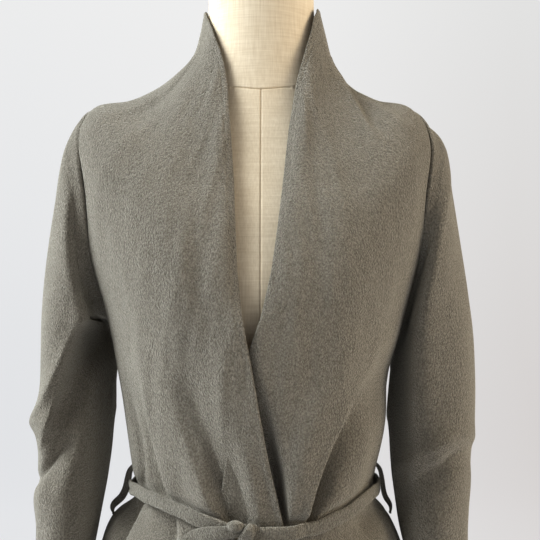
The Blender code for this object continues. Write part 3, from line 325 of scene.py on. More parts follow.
# Folds of the body: piece, depth in mm (outwards), half width to the left and right in pixels, power of
# the profile (1.5 is crisp, 2 round, 4 flat-bottomed), then points: across, down, share of the depth and
# share of the width (1 where it isn't given).
FOLD_COLUMNS = ("piece", "depth", "left", "right", "power", "points")
FOLDS = {
    # the bust
    "bust_left": ("over", 5.0, 48, 48, 2.0, (
        (160, 182, 0), (164, 235, .8), (167, 282, 1), (170, 340, .7), (172, 402, 0))),
    "bust_right": ("under", 5.0, 48, 45, 2.0, (
        (355, 182, 0), (353, 235, .8), (351, 282, 1), (349, 340, .7), (347, 402, 0))),
    # the front that lies over, above the belt
    "side_crease": ("over", -6.0, 2.8, 3.6, 2.0, (
        (124, 372, 0), (129, 400, .5), (134, 425, .9), (137.5, 441, 1), (140.5, 463, 1), (140.5, 482, 1),
        (140, 494, .6), (139, 505, 0))),
    "side_band": ("over", 1.6, 6, 6, 2.0, (
        (131, 392, 0), (138, 425, .9), (142, 447, 1), (146, 470, 1), (149, 488, .8), (151, 500, 0))),
    "side_trough": ("over", -6.5, 6.5, 4.5, 1.9, (
        (136, 372, 0), (141, 402, .4), (146, 431, .8), (150, 447, 1), (155, 470, 1), (160, 487, 1),
        (166, 500, .8), (170, 511, 0))),
    "side_ridge": ("over", 4.0, 4, 14, 1.6, (
        (138, 340, 0), (143, 372, .35), (147.5, 400, .8), (152.5, 431, 1), (157.5, 455, 1),
        (162.5, 471, 1), (167, 485, 1), (171, 497, .7), (176, 509, 0))),
    "fall_left": ("over", 5.0, 17, 7, 2.0, (
        (160, 350, 0, 1.3), (170, 395, .4, 1.2), (181, 428, .8, 1.1), (191, 456, 1), (201, 482, 1, .9),
        (210, 503, 1, .8), (216, 517, .8, .7), (220, 530, 0, .7))),
    "trough": ("over", -12.0, 8, 24, 2.0, (
        (172, 330, 0, 1.6), (184, 370, .12, 1.5), (196, 405, .34, 1.3), (207, 436, .64, 1.1),
        (219, 474, .96, 1), (228, 500, 1.1, .9), (233, 518, 1.2, .75), (238, 531, .8, .65),
        (241, 541, 0, .6))),
    "lap_ridge": ("over", 2.0, 9, 9, 2.0, (
        (230, 415, 0), (241, 450, .6), (249, 484, 1), (256, 510, .9, .8), (260, 527, 0, .8))),
    "edge_dip": ("over", -1.3, 6, 5, 2.0, (
        (250, 440, 0), (259, 464, .7), (265, 486, 1), (271, 506, 1), (275, 520, .6), (278, 530, 0))),
    "chest_light": ("over", 1.8, 24, 18, 2.0, (
        (172, 100, 0), (176, 150, .8), (180, 220, 1), (183, 300, 1), (187, 350, 0))),
    "chest_dip": ("over", -1.9, 11, 14, 2.0, (
        (190, 205, 0), (195, 252, 1), (201, 298, .9), (207, 340, 0))),
    "shoulder_streak": ("over", 2.0, 9, 9, 2.0, (
        (198, 66, 0), (187, 90, 1), (177, 117, .9), (168, 146, 0))),
    "shoulder_dip": ("over", -1.6, 9, 12, 2.0, (
        (176, 76, 0), (163, 92, 1), (150, 112, .8), (140, 138, 0))),
    # the front that lies under
    "gap": ("under", -20.0, 10, 5.5, 3.0, (
        (253, 378, 0, 1.3), (260, 402, .2, 1.3), (266, 430, .5, 1.2), (271, 452, .8, 1.1), (276.5, 472, 1),
        (280.5, 493, 1, .8), (283, 507, .9, .6), (285, 517, .5, .5), (286, 527, 0, .5))),
    "fall_right": ("under", 6.4, 17, 14, 2.2, (
        (352, 330, 0, 1.3), (340, 362, .4, 1.2), (328, 392, .8, 1.1), (316, 425, 1), (306, 455, 1, .9),
        (299, 482, 1, .75), (294, 505, .8, .6), (292, 520, .4, .5), (292, 530, 0, .5))),
    "pleat": ("under", 8.5, 14, 4.0, 1.7, (
        (392, 322, 0, 2.2), (374, 350, .22, 2.0), (360, 378, .5, 1.6), (350, 400, .8, 1.25), (342, 414, .95),
        (333.5, 433, 1, .85), (324.5, 455, 1, .7), (316.5, 477, 1, .65), (310.5, 498, 1, .6),
        (306.5, 514, .9, .55), (304.5, 529, 0, .55))),
    "pleat_trough": ("under", -16.0, 5.5, 12, 2.2, (
        (392, 345, 0, 1.9), (374, 378, .25, 1.7), (359, 404, .5, 1.4), (346, 432, .85, 1.15),
        (335, 455, 1.05), (326, 477, 1.1, .85), (318, 498, 1.1, .65), (312, 513, 1, .45),
        (308.5, 524, .5, .35), (307, 532, 0, .35))),
    "side_fall": ("under", 4.6, 12, 14, 2.0, (
        (398, 372, 0, 1.2), (386, 400, .5, 1.1), (372, 436, .9), (357, 468, 1), (342, 494, .9),
        (330, 512, .5, .9), (322, 524, 0, .8))),
    "side_dip": ("under", -2.6, 7, 8, 2.0, (
        (394, 430, 0), (386, 456, .8), (376, 480, 1), (366, 499, 0))),
    "collar_ridge": ("under", 3.4, 7, 3.5, 1.5, (
        (330, 58, 0), (338, 74, .6), (345, 90, 1), (354, 106, 1), (366, 125, .7), (380, 143, 0))),
    "collar_dip": ("under", -3.2, 3.5, 9, 1.8, (
        (340, 66, 0), (349, 85, .9), (358, 101, 1), (371, 120, .7), (388, 140, 0))),
    "shoulder_fold": ("under", 2.0, 7, 6, 2.0, (
        (352, 84, 0), (366, 99, .8), (384, 111, 1), (402, 124, .7), (414, 140, 0))),
    "lapel_over": ("over", 3.5, 48, 12, 2.0, (
        (226, 30, .2), (230, 90, .9), (234, 150, 1), (240, 220, 1), (247, 290, .8), (254, 345, 0))),
    "lapel_under": ("under", 3.5, 12, 48, 2.0, (
        (318, 20, .2), (308, 90, .9), (298, 150, 1), (284, 220, 1), (270, 285, .7), (258, 335, 0))),
    "v_band": ("under", 1.8, 9, 12, 2.0, (
        (316, 40, 0), (309, 70, 1), (304, 110, 1), (298, 160, .7), (286, 220, .4), (274, 270, 0))),
    # both fronts below the belt
    "skirt_edge": ("over", -8.0, 9, 3.5, 1.6, (
        (172, 503, 0), (173, 514, .7), (174, 530, 1), (174, 560, 1), (172, 640, .7), (168, 760, 0))),
    "skirt_lip": ("over", 2.6, 5, 12, 1.8, (
        (178, 506, 0), (180, 518, .8), (182, 545, 1), (184, 600, .8), (186, 680, 0))),
    "skirt_swell": ("over", 2.4, 12, 12, 2.0, (
        (150, 500, 0), (153, 520, .8), (154, 560, 1), (150, 660, .6), (146, 760, 0))),
    "side_cleft": ("over", -13.0, 4.5, 6.5, 2.0, (
        (141, 489, 0), (137, 499, .8), (128, 516, 1), (118, 535, 1), (106, 562, .9), (96, 600, .6),
        (92, 660, 0))),
    "skirt_far": ("over", -4.0, 12, 10, 2.0, (
        (205, 532, 0), (210, 560, .8), (212, 620, 1), (212, 720, .8), (210, 860, 0))),
    "skirt_dip_right": ("under", -4.5, 10, 10, 2.0, (
        (352, 504, 0), (358, 518, .8), (362, 545, 1), (370, 620, 1), (374, 780, 0))),
    "skirt_ridge_right": ("under", 2.6, 8, 8, 2.0, (
        (372, 500, 0), (376, 520, .8), (382, 560, 1), (392, 660, .6), (398, 760, 0))),
    "skirt_dip_mid": ("under", -4.0, 12, 12, 2.0, (
        (318, 530, 0), (320, 552, .8), (324, 620, 1), (328, 740, .7), (330, 880, 0))),
    # the back, as if seen from the front
    "back_1": ("back", -7.5, 13, 11, 2.0, (
        (140, 330, 0), (152, 380, .6), (165, 430, .9), (178, 480, 1), (186, 520, .9), (190, 540, 0))),
    "back_2": ("back", -8.5, 10, 13, 2.2, (
        (196, 350, 0), (204, 400, .5), (214, 450, .9), (224, 495, 1), (230, 530, .9), (233, 545, 0))),
    "back_3": ("back", -6.5, 11, 11, 2.0, (
        (300, 320, 0), (292, 380, .5), (286, 440, .9), (281, 495, 1), (279, 530, .8), (278, 545, 0))),
    "back_4": ("back", -8.0, 12, 11, 2.0, (
        (366, 340, 0), (358, 400, .6), (349, 450, .9), (341, 500, 1), (337, 535, 0))),
    "back_r1": ("back", 4.0, 9, 9, 1.7, (
        (174, 380, 0), (184, 430, .8), (200, 480, 1), (208, 515, .7), (210, 530, 0))),
    "back_r2": ("back", 4.4, 9, 9, 1.8, (
        (246, 360, 0), (250, 420, .8), (254, 480, 1), (256, 515, .6), (257, 530, 0))),
    "back_r3": ("back", 3.6, 8, 9, 1.6, (
        (330, 390, 0), (322, 440, .8), (314, 490, 1), (308, 518, .5), (306, 530, 0))),
    "back_blade_left": ("back", 2.2, 28, 24, 2.0, (
        (160, 110, 0), (164, 170, 1), (168, 230, .8), (172, 290, 0))),
    "back_blade_right": ("back", 2.2, 24, 28, 2.0, (
        (364, 110, 0), (360, 170, 1), (356, 230, .8), (352, 290, 0))),
    "back_skirt_1": ("back", -8.5, 16, 18, 2.0, (
        (150, 520, 0), (144, 560, .8), (136, 700, 1), (130, 880, .6), (128, 1000, 0))),
    "back_skirt_2": ("back", -8.0, 15, 17, 2.0, (
        (252, 525, 0), (256, 570, .9), (262, 690, 1), (266, 860, .6), (268, 980, 0))),
    "back_skirt_3": ("back", -8.5, 17, 17, 2.0, (
        (352, 520, 0), (362, 570, .8), (376, 700, 1), (384, 880, .6), (388, 1000, 0))),
}

# Folds of the sleeves in the same picture. "down" folds run down it, "across" folds run across it and
# have their half widths above and below. side is the picture's side, face 1 the front half, -1 the back.
SLEEVE_FOLD_COLUMNS = ("side", "face", "run", "depth", "before", "after", "power", "points")
SLEEVE_FOLDS = {
    "pit_hollow": ("left", 1, "down", -9.0, 9, 13, 2.0, (
        (86, 140, 0), (81, 180, .6), (80, 225, 1), (84, 270, 1), (93, 312, 1), (101, 350, .7),
        (104, 380, 0))),
    "pit_line": ("left", 1, "down", 2.6, 8, 5, 1.6, (
        (80, 160, 0), (74, 188, .8), (66, 228, 1), (70, 266, 1), (78, 302, .7), (84, 330, 0))),
    "shelf": ("left", 1, "across", 5.5, 16, 7, 1.7, (
        (28, 436, .3), (42, 408, .8), (54, 380, 1), (68, 348, 1), (80, 324, .9), (94, 308, .6),
        (110, 303, .3))),
    "elbow_bump": ("left", 1, "across", 4.2, 13, 12, 2.0, (
        (30, 420, .6), (44, 424, 1), (56, 428, 1), (68, 432, .5), (80, 436, 0))),
    "elbow_crease": ("left", 1, "across", -5.0, 7, 6, 1.5, (
        (30, 486, .8), (42, 473, 1), (54, 459, 1), (66, 447, .8), (78, 440, 0))),
    "low_light": ("left", 1, "across", 2.6, 16, 26, 2.0, (
        (36, 505, .8), (50, 490, 1), (64, 482, .8), (78, 478, 0))),
    "seam_left": ("left", 1, "down", -1.0, 1.6, 1.6, 2.0, (
        (110, 360, 0), (106, 389, 1), (101, 408, 1), (99, 434, 1), (95, 468, 1), (92, 494, 1), (90, 528, 1),
        (88, 620, 1), (86, 740, 1))),
    "wrist_left": ("left", 1, "across", -4.5, 14, 13, 2.0, (
        (34, 590, .4), (52, 602, 1), (70, 600, 1), (88, 590, .4))),
    "wrist_left_2": ("left", 1, "across", 2.5, 10, 10, 1.8, (
        (34, 640, .4), (52, 650, 1), (70, 646, 1), (88, 636, .4))),
    "right_band": ("right", 1, "down", 6.5, 7, 17, 2.0, (
        (432, 235, 0), (424, 290, .7), (419, 345, 1), (417, 400, 1), (416, 445, 0))),
    "right_cap": ("right", 1, "down", -2.6, 7, 9, 1.8, (
        (449, 150, 0), (443, 180, .8), (430, 225, 1), (416, 270, 1), (402, 318, .6), (398, 340, 0))),
    "right_elbow": ("right", 1, "across", 5.0, 14, 7, 1.6, (
        (392, 480, .3), (402, 474, .8), (411, 466, 1), (422, 455, 1), (434, 449, 1), (448, 442, .8),
        (462, 436, .3))),
    "right_under": ("right", 1, "across", -7.0, 7, 20, 2.2, (
        (400, 500, 0), (412, 486, .7), (426, 474, 1), (440, 468, 1), (452, 458, .8), (466, 450, .4))),
    "right_low": ("right", 1, "across", 2.4, 18, 24, 2.0, (
        (402, 540, .5), (424, 530, 1), (446, 522, 1), (462, 518, .5))),
    "seam_right": ("right", 1, "down", -1.0, 1.6, 1.6, 2.0, (
        (396, 380, 0), (397, 438, 1), (399, 480, 1), (404, 510, 1), (412, 560, 1), (420, 640, 1),
        (428, 740, 1))),
    "wrist_right": ("right", 1, "across", -4.0, 14, 13, 2.0, (
        (416, 600, .4), (432, 610, 1), (452, 604, 1), (466, 596, .4))),
    "left_back_1": ("left", -1, "across", -7.0, 14, 16, 2.0, (
        (36, 366, .3), (54, 374, 1), (76, 390, 1), (98, 398, .5))),
    "left_back_2": ("left", -1, "across", -6.0, 12, 14, 1.8, (
        (32, 444, .4), (52, 452, 1), (74, 466, 1), (94, 470, .5))),
    "left_back_3": ("left", -1, "across", -5.0, 13, 14, 2.0, (
        (32, 520, .4), (52, 528, 1), (74, 540, 1), (92, 546, .5))),
    "left_back_4": ("left", -1, "across", 3.0, 12, 10, 1.7, (
        (32, 410, .4), (54, 416, 1), (78, 430, 1), (96, 436, .4))),
    "right_back_1": ("right", -1, "across", -7.0, 14, 16, 2.0, (
        (402, 404, .4), (424, 396, 1), (446, 382, 1), (464, 374, .4))),
    "right_back_2": ("right", -1, "across", -6.0, 12, 14, 1.8, (
        (404, 482, .4), (426, 474, 1), (448, 462, 1), (464, 456, .4))),
    "right_back_3": ("right", -1, "across", 3.0, 12, 10, 1.7, (
        (402, 444, .4), (424, 438, 1), (446, 426, 1), (464, 418, .4))),
}
# Hollows of the sleeves that go straight back: side, run, depth in mm, half widths, power, points
HOLLOW_COLUMNS = ("side", "run", "depth", "before", "after", "power", "points")
HOLLOWS = {
    "elbow": ("left", "across", 30.0, 9, 66, 2.6, (
        (38, 462, 0), (48, 432, .25), (58, 402, .55), (70, 368, .85), (82, 340, 1), (94, 328, 1),
        (106, 329, .9), (118, 340, .7))),
    "pit": ("left", "across", 40.0, 5, 34, 3.0, (
        (62, 362, 0), (72, 345, .3), (80, 334, .8), (88, 327, 1), (97, 324, 1), (108, 325, 1),
        (118, 334, .8))),
    "inner": ("left", "down", 22.0, 36, 30, 2.0, (
        (108, 322, 0), (110, 340, .8), (110, 370, 1), (108, 410, 1), (105, 445, .7), (101, 490, .3),
        (99, 520, 0))),
    "body_left": ("left", "down", 10.0, 15, 16, 2.2, (
        (92, 160, 0), (88, 200, .4), (90, 250, .7), (98, 300, 1), (106, 350, 1), (108, 400, 1),
        (108, 450, .9), (104, 520, .6), (100, 600, 0))),
    "body_right": ("right", "down", 30.0, 16, 11, 3.0, (
        (420, 250, 0), (408, 300, .6), (400, 345, 1), (397, 400, 1), (397, 450, .9), (399, 490, .6),
        (402, 540, 0))),
}
HOLLOW_BACK = 0.048
HOLLOW_REACH = 0.095

# Fullness of the sleeves beside the armhole seam: height, and how far from the seam it is greatest
SLEEVE_HEAD = 0.0016
SLEEVE_HEAD_REACH = 0.0055
# A sleeve's fold fades out where the sleeve turns to its other face
FACING_START = 0.002
FACING_RAMP = 0.030

# Slow swells that keep the cloth from lying dead flat: waves across, waves down, shift, height
SWELLS = (
    (14.0, 9.0, 0.4, 0.00050), (23.0, -17.0, 1.9, 0.00035), (-31.0, 22.0, 3.1, 0.00025),
    (47.0, 35.0, 0.9, 0.00016), (-61.0, 49.0, 2.2, 0.00012))
SWELL_TURN = 0.15
SWELL_COUNT = 6
SWELL_BEND = 1.3
SWELL_BEND_PACE = 0.7

# Grid sizes
HEM_LEVELS = (0.0, 0.004, 0.010, 0.018)
HEM_END = 0.05
SIDE_STEPS = (36, 62, 54)
FRONT_COLUMNS = 140
BACK_COLUMNS = 150
ARMHOLE_STEPS = 56
SHOULDER_STEPS = 26
NECK_STEPS = 40
SLEEVE_ROWS = 210
FORM_SIDES = 320
FORM_CROWD = 0.80
NECK_SEAM = 1.3885
STRAP_SIDES = 28
COLUMN_CROWD = 0.35
RIM_SHARES = (0.0, 0.0009, 0.0022, 0.0042)
TURN_STEP = 0.006
LEVEL_STEP = 0.020
HALVINGS = 40
FRONT_ROUNDS = 6
FOLD_STEPS = 12
EDGE_TURNS = (-1.2, 3.0)
LINE_STEPS = 400

# Noises of the materials
NOISE_COLUMNS = ("stretch", "scale", "detail", "rough", "distortion")
NOISES = {
    "fibre":   ((1.0, 1.0, 0.66), 780.0, 2.0, 0.55, 0.2),
    "mottle":  ((1.0, 1.0, 0.70), 300.0, 2.0, 0.5, 0.5),
    "patch":   ((1.0, 1.0, 0.7), 24.0, 3.0, 0.55, 0.0),
    "fuzz":    ((1.0, 1.0, 0.7), 1300.0, 2.0, 0.6, 0.4),
    "warp":    ((1.0, 1.0, 0.05), 680.0, 2.0, 0.6, 0.0),
    "weft":    ((0.05, 0.05, 1.0), 680.0, 2.0, 0.6, 0.0),
    "slub":    ((0.12, 0.12, 1.0), 170.0, 3.0, 0.6, 0.0),
    "stain":   ((1.0, 1.0, 1.0), 9.0, 3.0, 0.5, 0.0),
    "grain":   ((1.0, 0.08, 1.0), 90.0, 4.0, 0.6, 0.8),
    "brushed": ((1.0, 1.0, 0.02), 900.0, 2.0, 0.5, 0.0),
}
# Colours from dark to light
WOOL_COLOURS = ((0.114, 0.102, 0.080), (0.184, 0.166, 0.133), (0.283, 0.260, 0.214))
BELT_COLOURS = ((0.104, 0.094, 0.074), (0.166, 0.152, 0.123), (0.250, 0.234, 0.194))
LINEN_COLOURS = ((0.575, 0.475, 0.335), (0.665, 0.570, 0.422), (0.75, 0.66, 0.51))
WOOD_COLOURS = ((0.045, 0.026, 0.015), (0.095, 0.056, 0.032), (0.150, 0.092, 0.054))
STEEL_COLOURS = ((0.26, 0.26, 0.265), (0.42, 0.42, 0.425))

# Places of those colours on the noise, shares of the noises, and the relief's depth and strength
WOOL_STOPS = (0.36, 0.50, 0.64)
LINEN_STOPS = (0.32, 0.50, 0.66)
WOOD_STOPS = (0.30, 0.55, 0.75)
STEEL_STOPS = (0.3, 0.7)
WOOL_SHARES = {"mottle": 0.08, "fibre": 0.86, "patch": 0.06}
LINEN_SHARES = {"weft": 0.43, "warp": 0.45, "slub": 0.05, "stain": 0.07}
FUZZ_SHARE = 0.30
WOOL_RELIEF = (0.0042, 1.0)
LINEN_RELIEF = (0.0007, 0.5)
WOOD_RELIEF = (0.0006, 0.3)
WOOD_ROUGH = (0.2, 0.28)
STEEL_ROUGH = (0.2, 0.22)
WOOL_SHADER = {
    "Roughness": 0.92, "Specular IOR Level": 0.18, "Sheen Weight": 0.65, "Sheen Roughness": 0.45,
    "Sheen Tint": (0.80, 0.78, 0.70, 1.0)}
LINEN_SHADER = {"Roughness": 0.85, "Specular IOR Level": 0.25, "Sheen Weight": 0.12}
STEEL_SHADER = {"Metallic": 1.0}

# The stage: a sweep that runs from the floor up into a wall behind the part. Though no lamp, it glows,
# and its glow is painted light, its tones from the left to the right and up from the floor: darker towards
# the floor and towards the right
STAGE_REACH = 12.0
STAGE_BEND_START = 3.6
STAGE_BEND = 1.4
STAGE_BEND_STEPS = 12
STAGE_COLUMNS = 9
STAGE_DROP = 0.0005
STAGE_SIDE = (0.279, 0.5)
STAGE_RISE = (0.282, 0.165)
STAGE_STOPS = (0.05, 0.5, 0.95)
# Painted light: tones of the stage's glow high up and down by the floor, from the left to the right
STAGE_UPPER_GLOW = ((0.84, 0.845, 0.85), (0.86, 0.86, 0.86), (0.76, 0.76, 0.755))
STAGE_LOWER_GLOW = ((0.72, 0.735, 0.765), (0.74, 0.745, 0.755), (0.63, 0.595, 0.585))
STAGE_PAINT = (0.05, 0.05, 0.05, 1.0)
STAGE_ROUGH = 0.9
STAGE_GLOW = 0.96

# The lights: place, target, width and height, watts, colour
WORLD_COLOUR = (1.0, 0.92, 0.88, 1.0)
WORLD_STRENGTH = 0.15
LIGHTS = {
    "window":      ((-1.75, -0.24, 2.55), (0.0, 0.0, 1.20), (1.2, 1.4), 102.0, (0.93, 0.98, 1.0)),
    "window_near": ((-1.7, -0.9, 2.4), (0.0, 0.0, 1.18), (1.2, 1.2), 22.0, (1.0, 0.98, 0.90)),
    "room_fill":   ((1.8, -0.30, 1.8), (0.0, 0.0, 1.18), (0.9, 1.2), 36.0, (1.0, 0.86, 0.66)),
    "room_front":  ((1.5, -1.5, 1.6), (0.0, 0.0, 1.18), (0.9, 1.2), 4.0, (1.0, 0.90, 0.74)),
}

NAMES = tuple(SECTIONS)
TABLE = np.array([SECTIONS[name] for name in NAMES])
EDGE_TABLE = np.array(EDGES)


def level(name):
    """Row number of a named section."""
    return float(NAMES.index(name))


def smooth(share):
    """0 up to 0, 1 from 1 on, a soft step between."""
    share = np.clip(share, 0.0, 1.0)
    return share * share * (3.0 - 2.0 * share)


def spline_rows(table, place):
    """Rows of a table at fractional row numbers, on a smooth curve through the rows."""
    place = np.clip(np.asarray(place, dtype=float), 0.0, len(table) - 1.0)
    row = np.minimum(place.astype(int), len(table) - 2)
    share = (place - row)[..., None]
    before = table[np.maximum(row - 1, 0)]
    here = table[row]
    there = table[row + 1]
    after = table[np.minimum(row + 2, len(table) - 1)]
    start_slope = (there - before) / 2.0
    end_slope = (after - here) / 2.0
    square, cube = share ** 2, share ** 3
    return ((2 * cube - 3 * square + 1) * here + (cube - 2 * square + share) * start_slope
            + (3 * square - 2 * cube) * there + (cube - square) * end_slope)


def sizes_at(place):
    """Named sizes of the ring at a level."""
    rows = spline_rows(TABLE, place)
    return {name: rows[..., i] for i, name in enumerate(SECTION_COLUMNS)}


def ring_point(angle, place, inside=False):
    """Point of the smooth coat, or of the form inside it, at an angle and a level."""
    size = sizes_at(place)
    sine, cosine = np.sin(angle), np.cos(angle)
    power = 2.0 / (FORM_SQUARE if inside else size["square"])
    across = np.sign(sine) * np.abs(sine) ** power
    along = np.abs(cosine) ** power
    ahead = cosine > 0
    if inside:
        half = size["form_wide"]
        depth = np.where(ahead, -size["form_front"], size["form_back"])
    else:
        half = np.where(sine > 0, size["right"], size["left"])
        depth = np.where(ahead, -size["front"], size["back"])
    end_height = np.where(ahead, size["z_front"], size["z_back"])
    height = size["z_side"] + (end_height - size["z_side"]) * cosine ** 2
    return np.stack([half * across, depth * along, height], axis=-1)


def unit(vectors):
    """Vectors brought to length 1."""
    return vectors / np.maximum(np.linalg.norm(vectors, axis=-1, keepdims=True), 1e-12)


def normals_of(surface, angle, place):
    """Outward normals of a surface given by angle and level."""
    round_it = surface(angle + TURN_STEP, place) - surface(angle - TURN_STEP, place)
    up_it = surface(angle, place + LEVEL_STEP) - surface(angle, place - LEVEL_STEP)
    return unit(np.cross(round_it, up_it))


def edge_x(which, height):
    """x of a front's free edge at a height, in the front view."""
    return np.interp(height, EDGE_TABLE[:, 0], EDGE_TABLE[:, EDGE_COLUMNS.index(which)])


def picture(points, flat=False):
    """Where the camera sees points, in pixels across and down. flat takes them on the front's plane."""
    depth = FRONT_Y if flat else points[..., 1]
    pixel = (depth - CAMERA[1]) * SENSOR / LENS / PICTURE
    across = PICTURE / 2 + (points[..., 0] - CAMERA[0]) / pixel
    down = PICTURE / 2 - (points[..., 2] - CAMERA[2]) / pixel
    return across, down


def one_fold(points, along, off_axis, before, after, power):
    """Share of a fold's depth at places given along it and across it."""
    table = np.array([(*point, 1.0)[:4] for point in points], dtype=float)
    fine = spline_rows(table, np.linspace(0, len(table) - 1, FOLD_STEPS * len(table)))
    order = np.argsort(fine[:, 1])
    middle, share, scale = (np.interp(along, fine[order, 1], fine[order, i]) for i in (0, 2, 3))
    off = off_axis - middle
    wide = np.where(off < 0, before, after) * scale
    return share * np.exp(-np.abs(off / wide) ** power)


def fold_height(points, angle, piece):
    """How far the folds move the points outwards."""
    across, down = picture(points, flat=piece == "back")
    share = smooth(np.cos(angle) * (-FOLD_BLEND if piece == "back" else FOLD_BLEND))
    total = np.zeros_like(across)
    for row in FOLDS.values():
        fold = dict(zip(FOLD_COLUMNS, row))
        if fold["piece"] == piece:
            total += fold["depth"] / 1000.0 * one_fold(
                fold["points"], down, across, fold["left"], fold["right"], fold["power"])
    return total * share


def swell_height(points):
    """Slow swells of the cloth."""
    turn = np.arctan2(points[..., 0], -points[..., 1]) * SWELL_TURN
    total = np.zeros_like(turn)
    for across, down, shift, size in SWELLS:
        bend = SWELL_BEND * np.sin(down * SWELL_BEND_PACE * points[..., 2] + shift * 2)
        total += size * np.sin(across * turn * SWELL_COUNT + down * points[..., 2] + shift + bend)
    return total


def flute_height(points, angle):
    """Waves of the skirt, growing towards the hem."""
    grow = smooth((FLUTE_TOP - points[..., 2]) / (FLUTE_TOP - TABLE[0, 0]))
    return grow * sum(size * np.cos(count * angle + shift) for count, shift, size in FLUTES)


def lap_height(points, piece):
    """The over front stands off the under front; the under front sinks a little under it."""
    x, z = points[..., 0], points[..., 2]
    start = edge_x("under", z) - LAP_RAMP_START
    beside = smooth((x - start) / (LAP_RAMP_START - LAP_RAMP_END))
    below = smooth((LAP_TOP - z) / (LAP_TOP - LAP_FULL))
    if piece == "over":
        return LAP_LIFT * beside * below
    under = smooth((edge_x("over", z) + UNDER_REACH - x) / UNDER_RAMP)
    return -UNDER_DROP * under * below


def roll_height(points, angle, piece):
    """The free edges roll in towards the body above the overlap."""
    x, z = points[..., 0], points[..., 2]
    inside = (edge_x("over", z) - x) if piece == "over" else (x - edge_x("under", z))
    near = np.clip(1.0 - inside / ROLL_WIDTH, 0.0, 1.0) ** 2
    above = smooth((z - LAP_FULL) / ROLL_RAMP) * smooth((ROLL_TOP - z) / ROLL_TOP_RAMP)
    return -ROLL_DEPTH * near * above * (np.cos(angle) > 0)


def belt_shape(angle):
    """Height of the belt's middle, and how far its inner face stands off the coat, at angles."""
    line = np.array(BELT_LINE)
    turn = np.degrees((angle + np.pi) % (2 * np.pi) - np.pi)
    fine = dict(zip(BELT_COLUMNS, spline_rows(line, np.linspace(0, len(line) - 1, LINE_STEPS)).T))
    rise, ease = (np.interp(turn, fine["angle"], fine[name]) for name in ("rise", "ease"))
    middle = (level("belt_low") + level("belt_high")) / 2.0
    return ring_point(angle, np.full_like(angle, middle))[..., 2] + rise, ease


def belt_pinch(points, angle):
    """1 where the belt holds the cloth down, 0 away from it."""
    height, _ = belt_shape(angle)
    return np.exp(-np.abs((points[..., 2] - height) / BELT_PINCH_REACH) ** 4)


def coat_surface(piece):
    """The outer face of a cut piece as a function of angle and level."""
    def surface(angle, place):
        base = ring_point(angle, place)
        height = fold_height(base, angle, piece) + swell_height(base)
        pinch = belt_pinch(base, angle)
        height = np.where(height > 0, height * (1.0 - pinch), height) - BELT_PINCH * pinch
        height = height + flute_height(base, angle)
        if piece != "back":
            height = height + lap_height(base, piece) + roll_height(base, angle, piece)
        return base + normals_of(ring_point, angle, place) * height[..., None]
    return surface


def halve(low, high, too_low):
    """Where a condition on arrays stops holding, by halving the span."""
    low, high = np.array(low, dtype=float), np.array(high, dtype=float)
    for _ in range(HALVINGS):
        middle = (low + high) / 2.0
        below = too_low(middle)
        low, high = np.where(below, middle, low), np.where(below, high, middle)
    return (low + high) / 2.0


def level_at_height(angle, height, low, high):
    """Levels between two rows where the smooth coat has the heights at the angles."""
    angle, height = np.broadcast_arrays(np.asarray(angle, float), np.asarray(height, float))
    return halve(np.full(angle.shape, low), np.full(angle.shape, high),
                 lambda middle: ring_point(angle, middle)[..., 2] < height)


def edge_angle(which, place):
    """Angles at which a front's free edge crosses the levels."""
    side = -1.0 if which == "over" else 1.0
    place = np.asarray(place, dtype=float)

    def before(middle):
        point = ring_point(side * middle, place)
        return side * point[..., 0] < side * edge_x(which, point[..., 2])
    low, high = EDGE_TURNS
    return side * halve(np.full(place.shape, low), np.full(place.shape, high), before)


def side_levels():
    """Levels of the rows along the side seam, from hem to armpit, with close rows at the hem."""
    hip, waist, armpit = level("hip"), level("waist"), level("armpit")
    skirt, middle, chest = SIDE_STEPS
    return np.concatenate([
        HEM_LEVELS, np.linspace(HEM_END, hip, skirt), np.linspace(hip, waist, middle)[1:],
        np.linspace(waist, armpit, chest)[1:]])


def armhole_places(swing):
    """Angles off the middle and levels of the armhole's points, from armpit to shoulder tip."""
    share = (1.0 - np.cos(np.pi * np.arange(1, ARMHOLE_STEPS + 1) / ARMHOLE_STEPS)) / 2.0
    bend = np.maximum(np.sin(np.pi * share ** ARMHOLE_SKEW), 0.0) ** ARMHOLE_FULLNESS
    angle = np.radians(90.0 + swing * bend)
    low, high = SECTIONS["armpit"][1], SECTIONS["shoulder_tip"][1]
    place = level_at_height(angle, low + (high - low) * share, level("armpit") - 1, level("collar_foot"))
    place[-1] = level("shoulder_tip")
    return angle, place


def shoulder_levels():
    """Levels of the rows along the shoulder seam, from the tip to the neck."""
    return np.linspace(level("shoulder_tip"), level("neck_base"), SHOULDER_STEPS + 1)[1:]


def columns_to_rim(count):
    """Shares of the columns from a seam to a free edge, close together at the edge."""
    share = np.linspace(0.0, 1.0, count + 1)[:-1]
    share = share + COLUMN_CROWD * share * (1.0 - share)
    return np.concatenate([share, 1.0 - np.array(RIM_SHARES[::-1])])


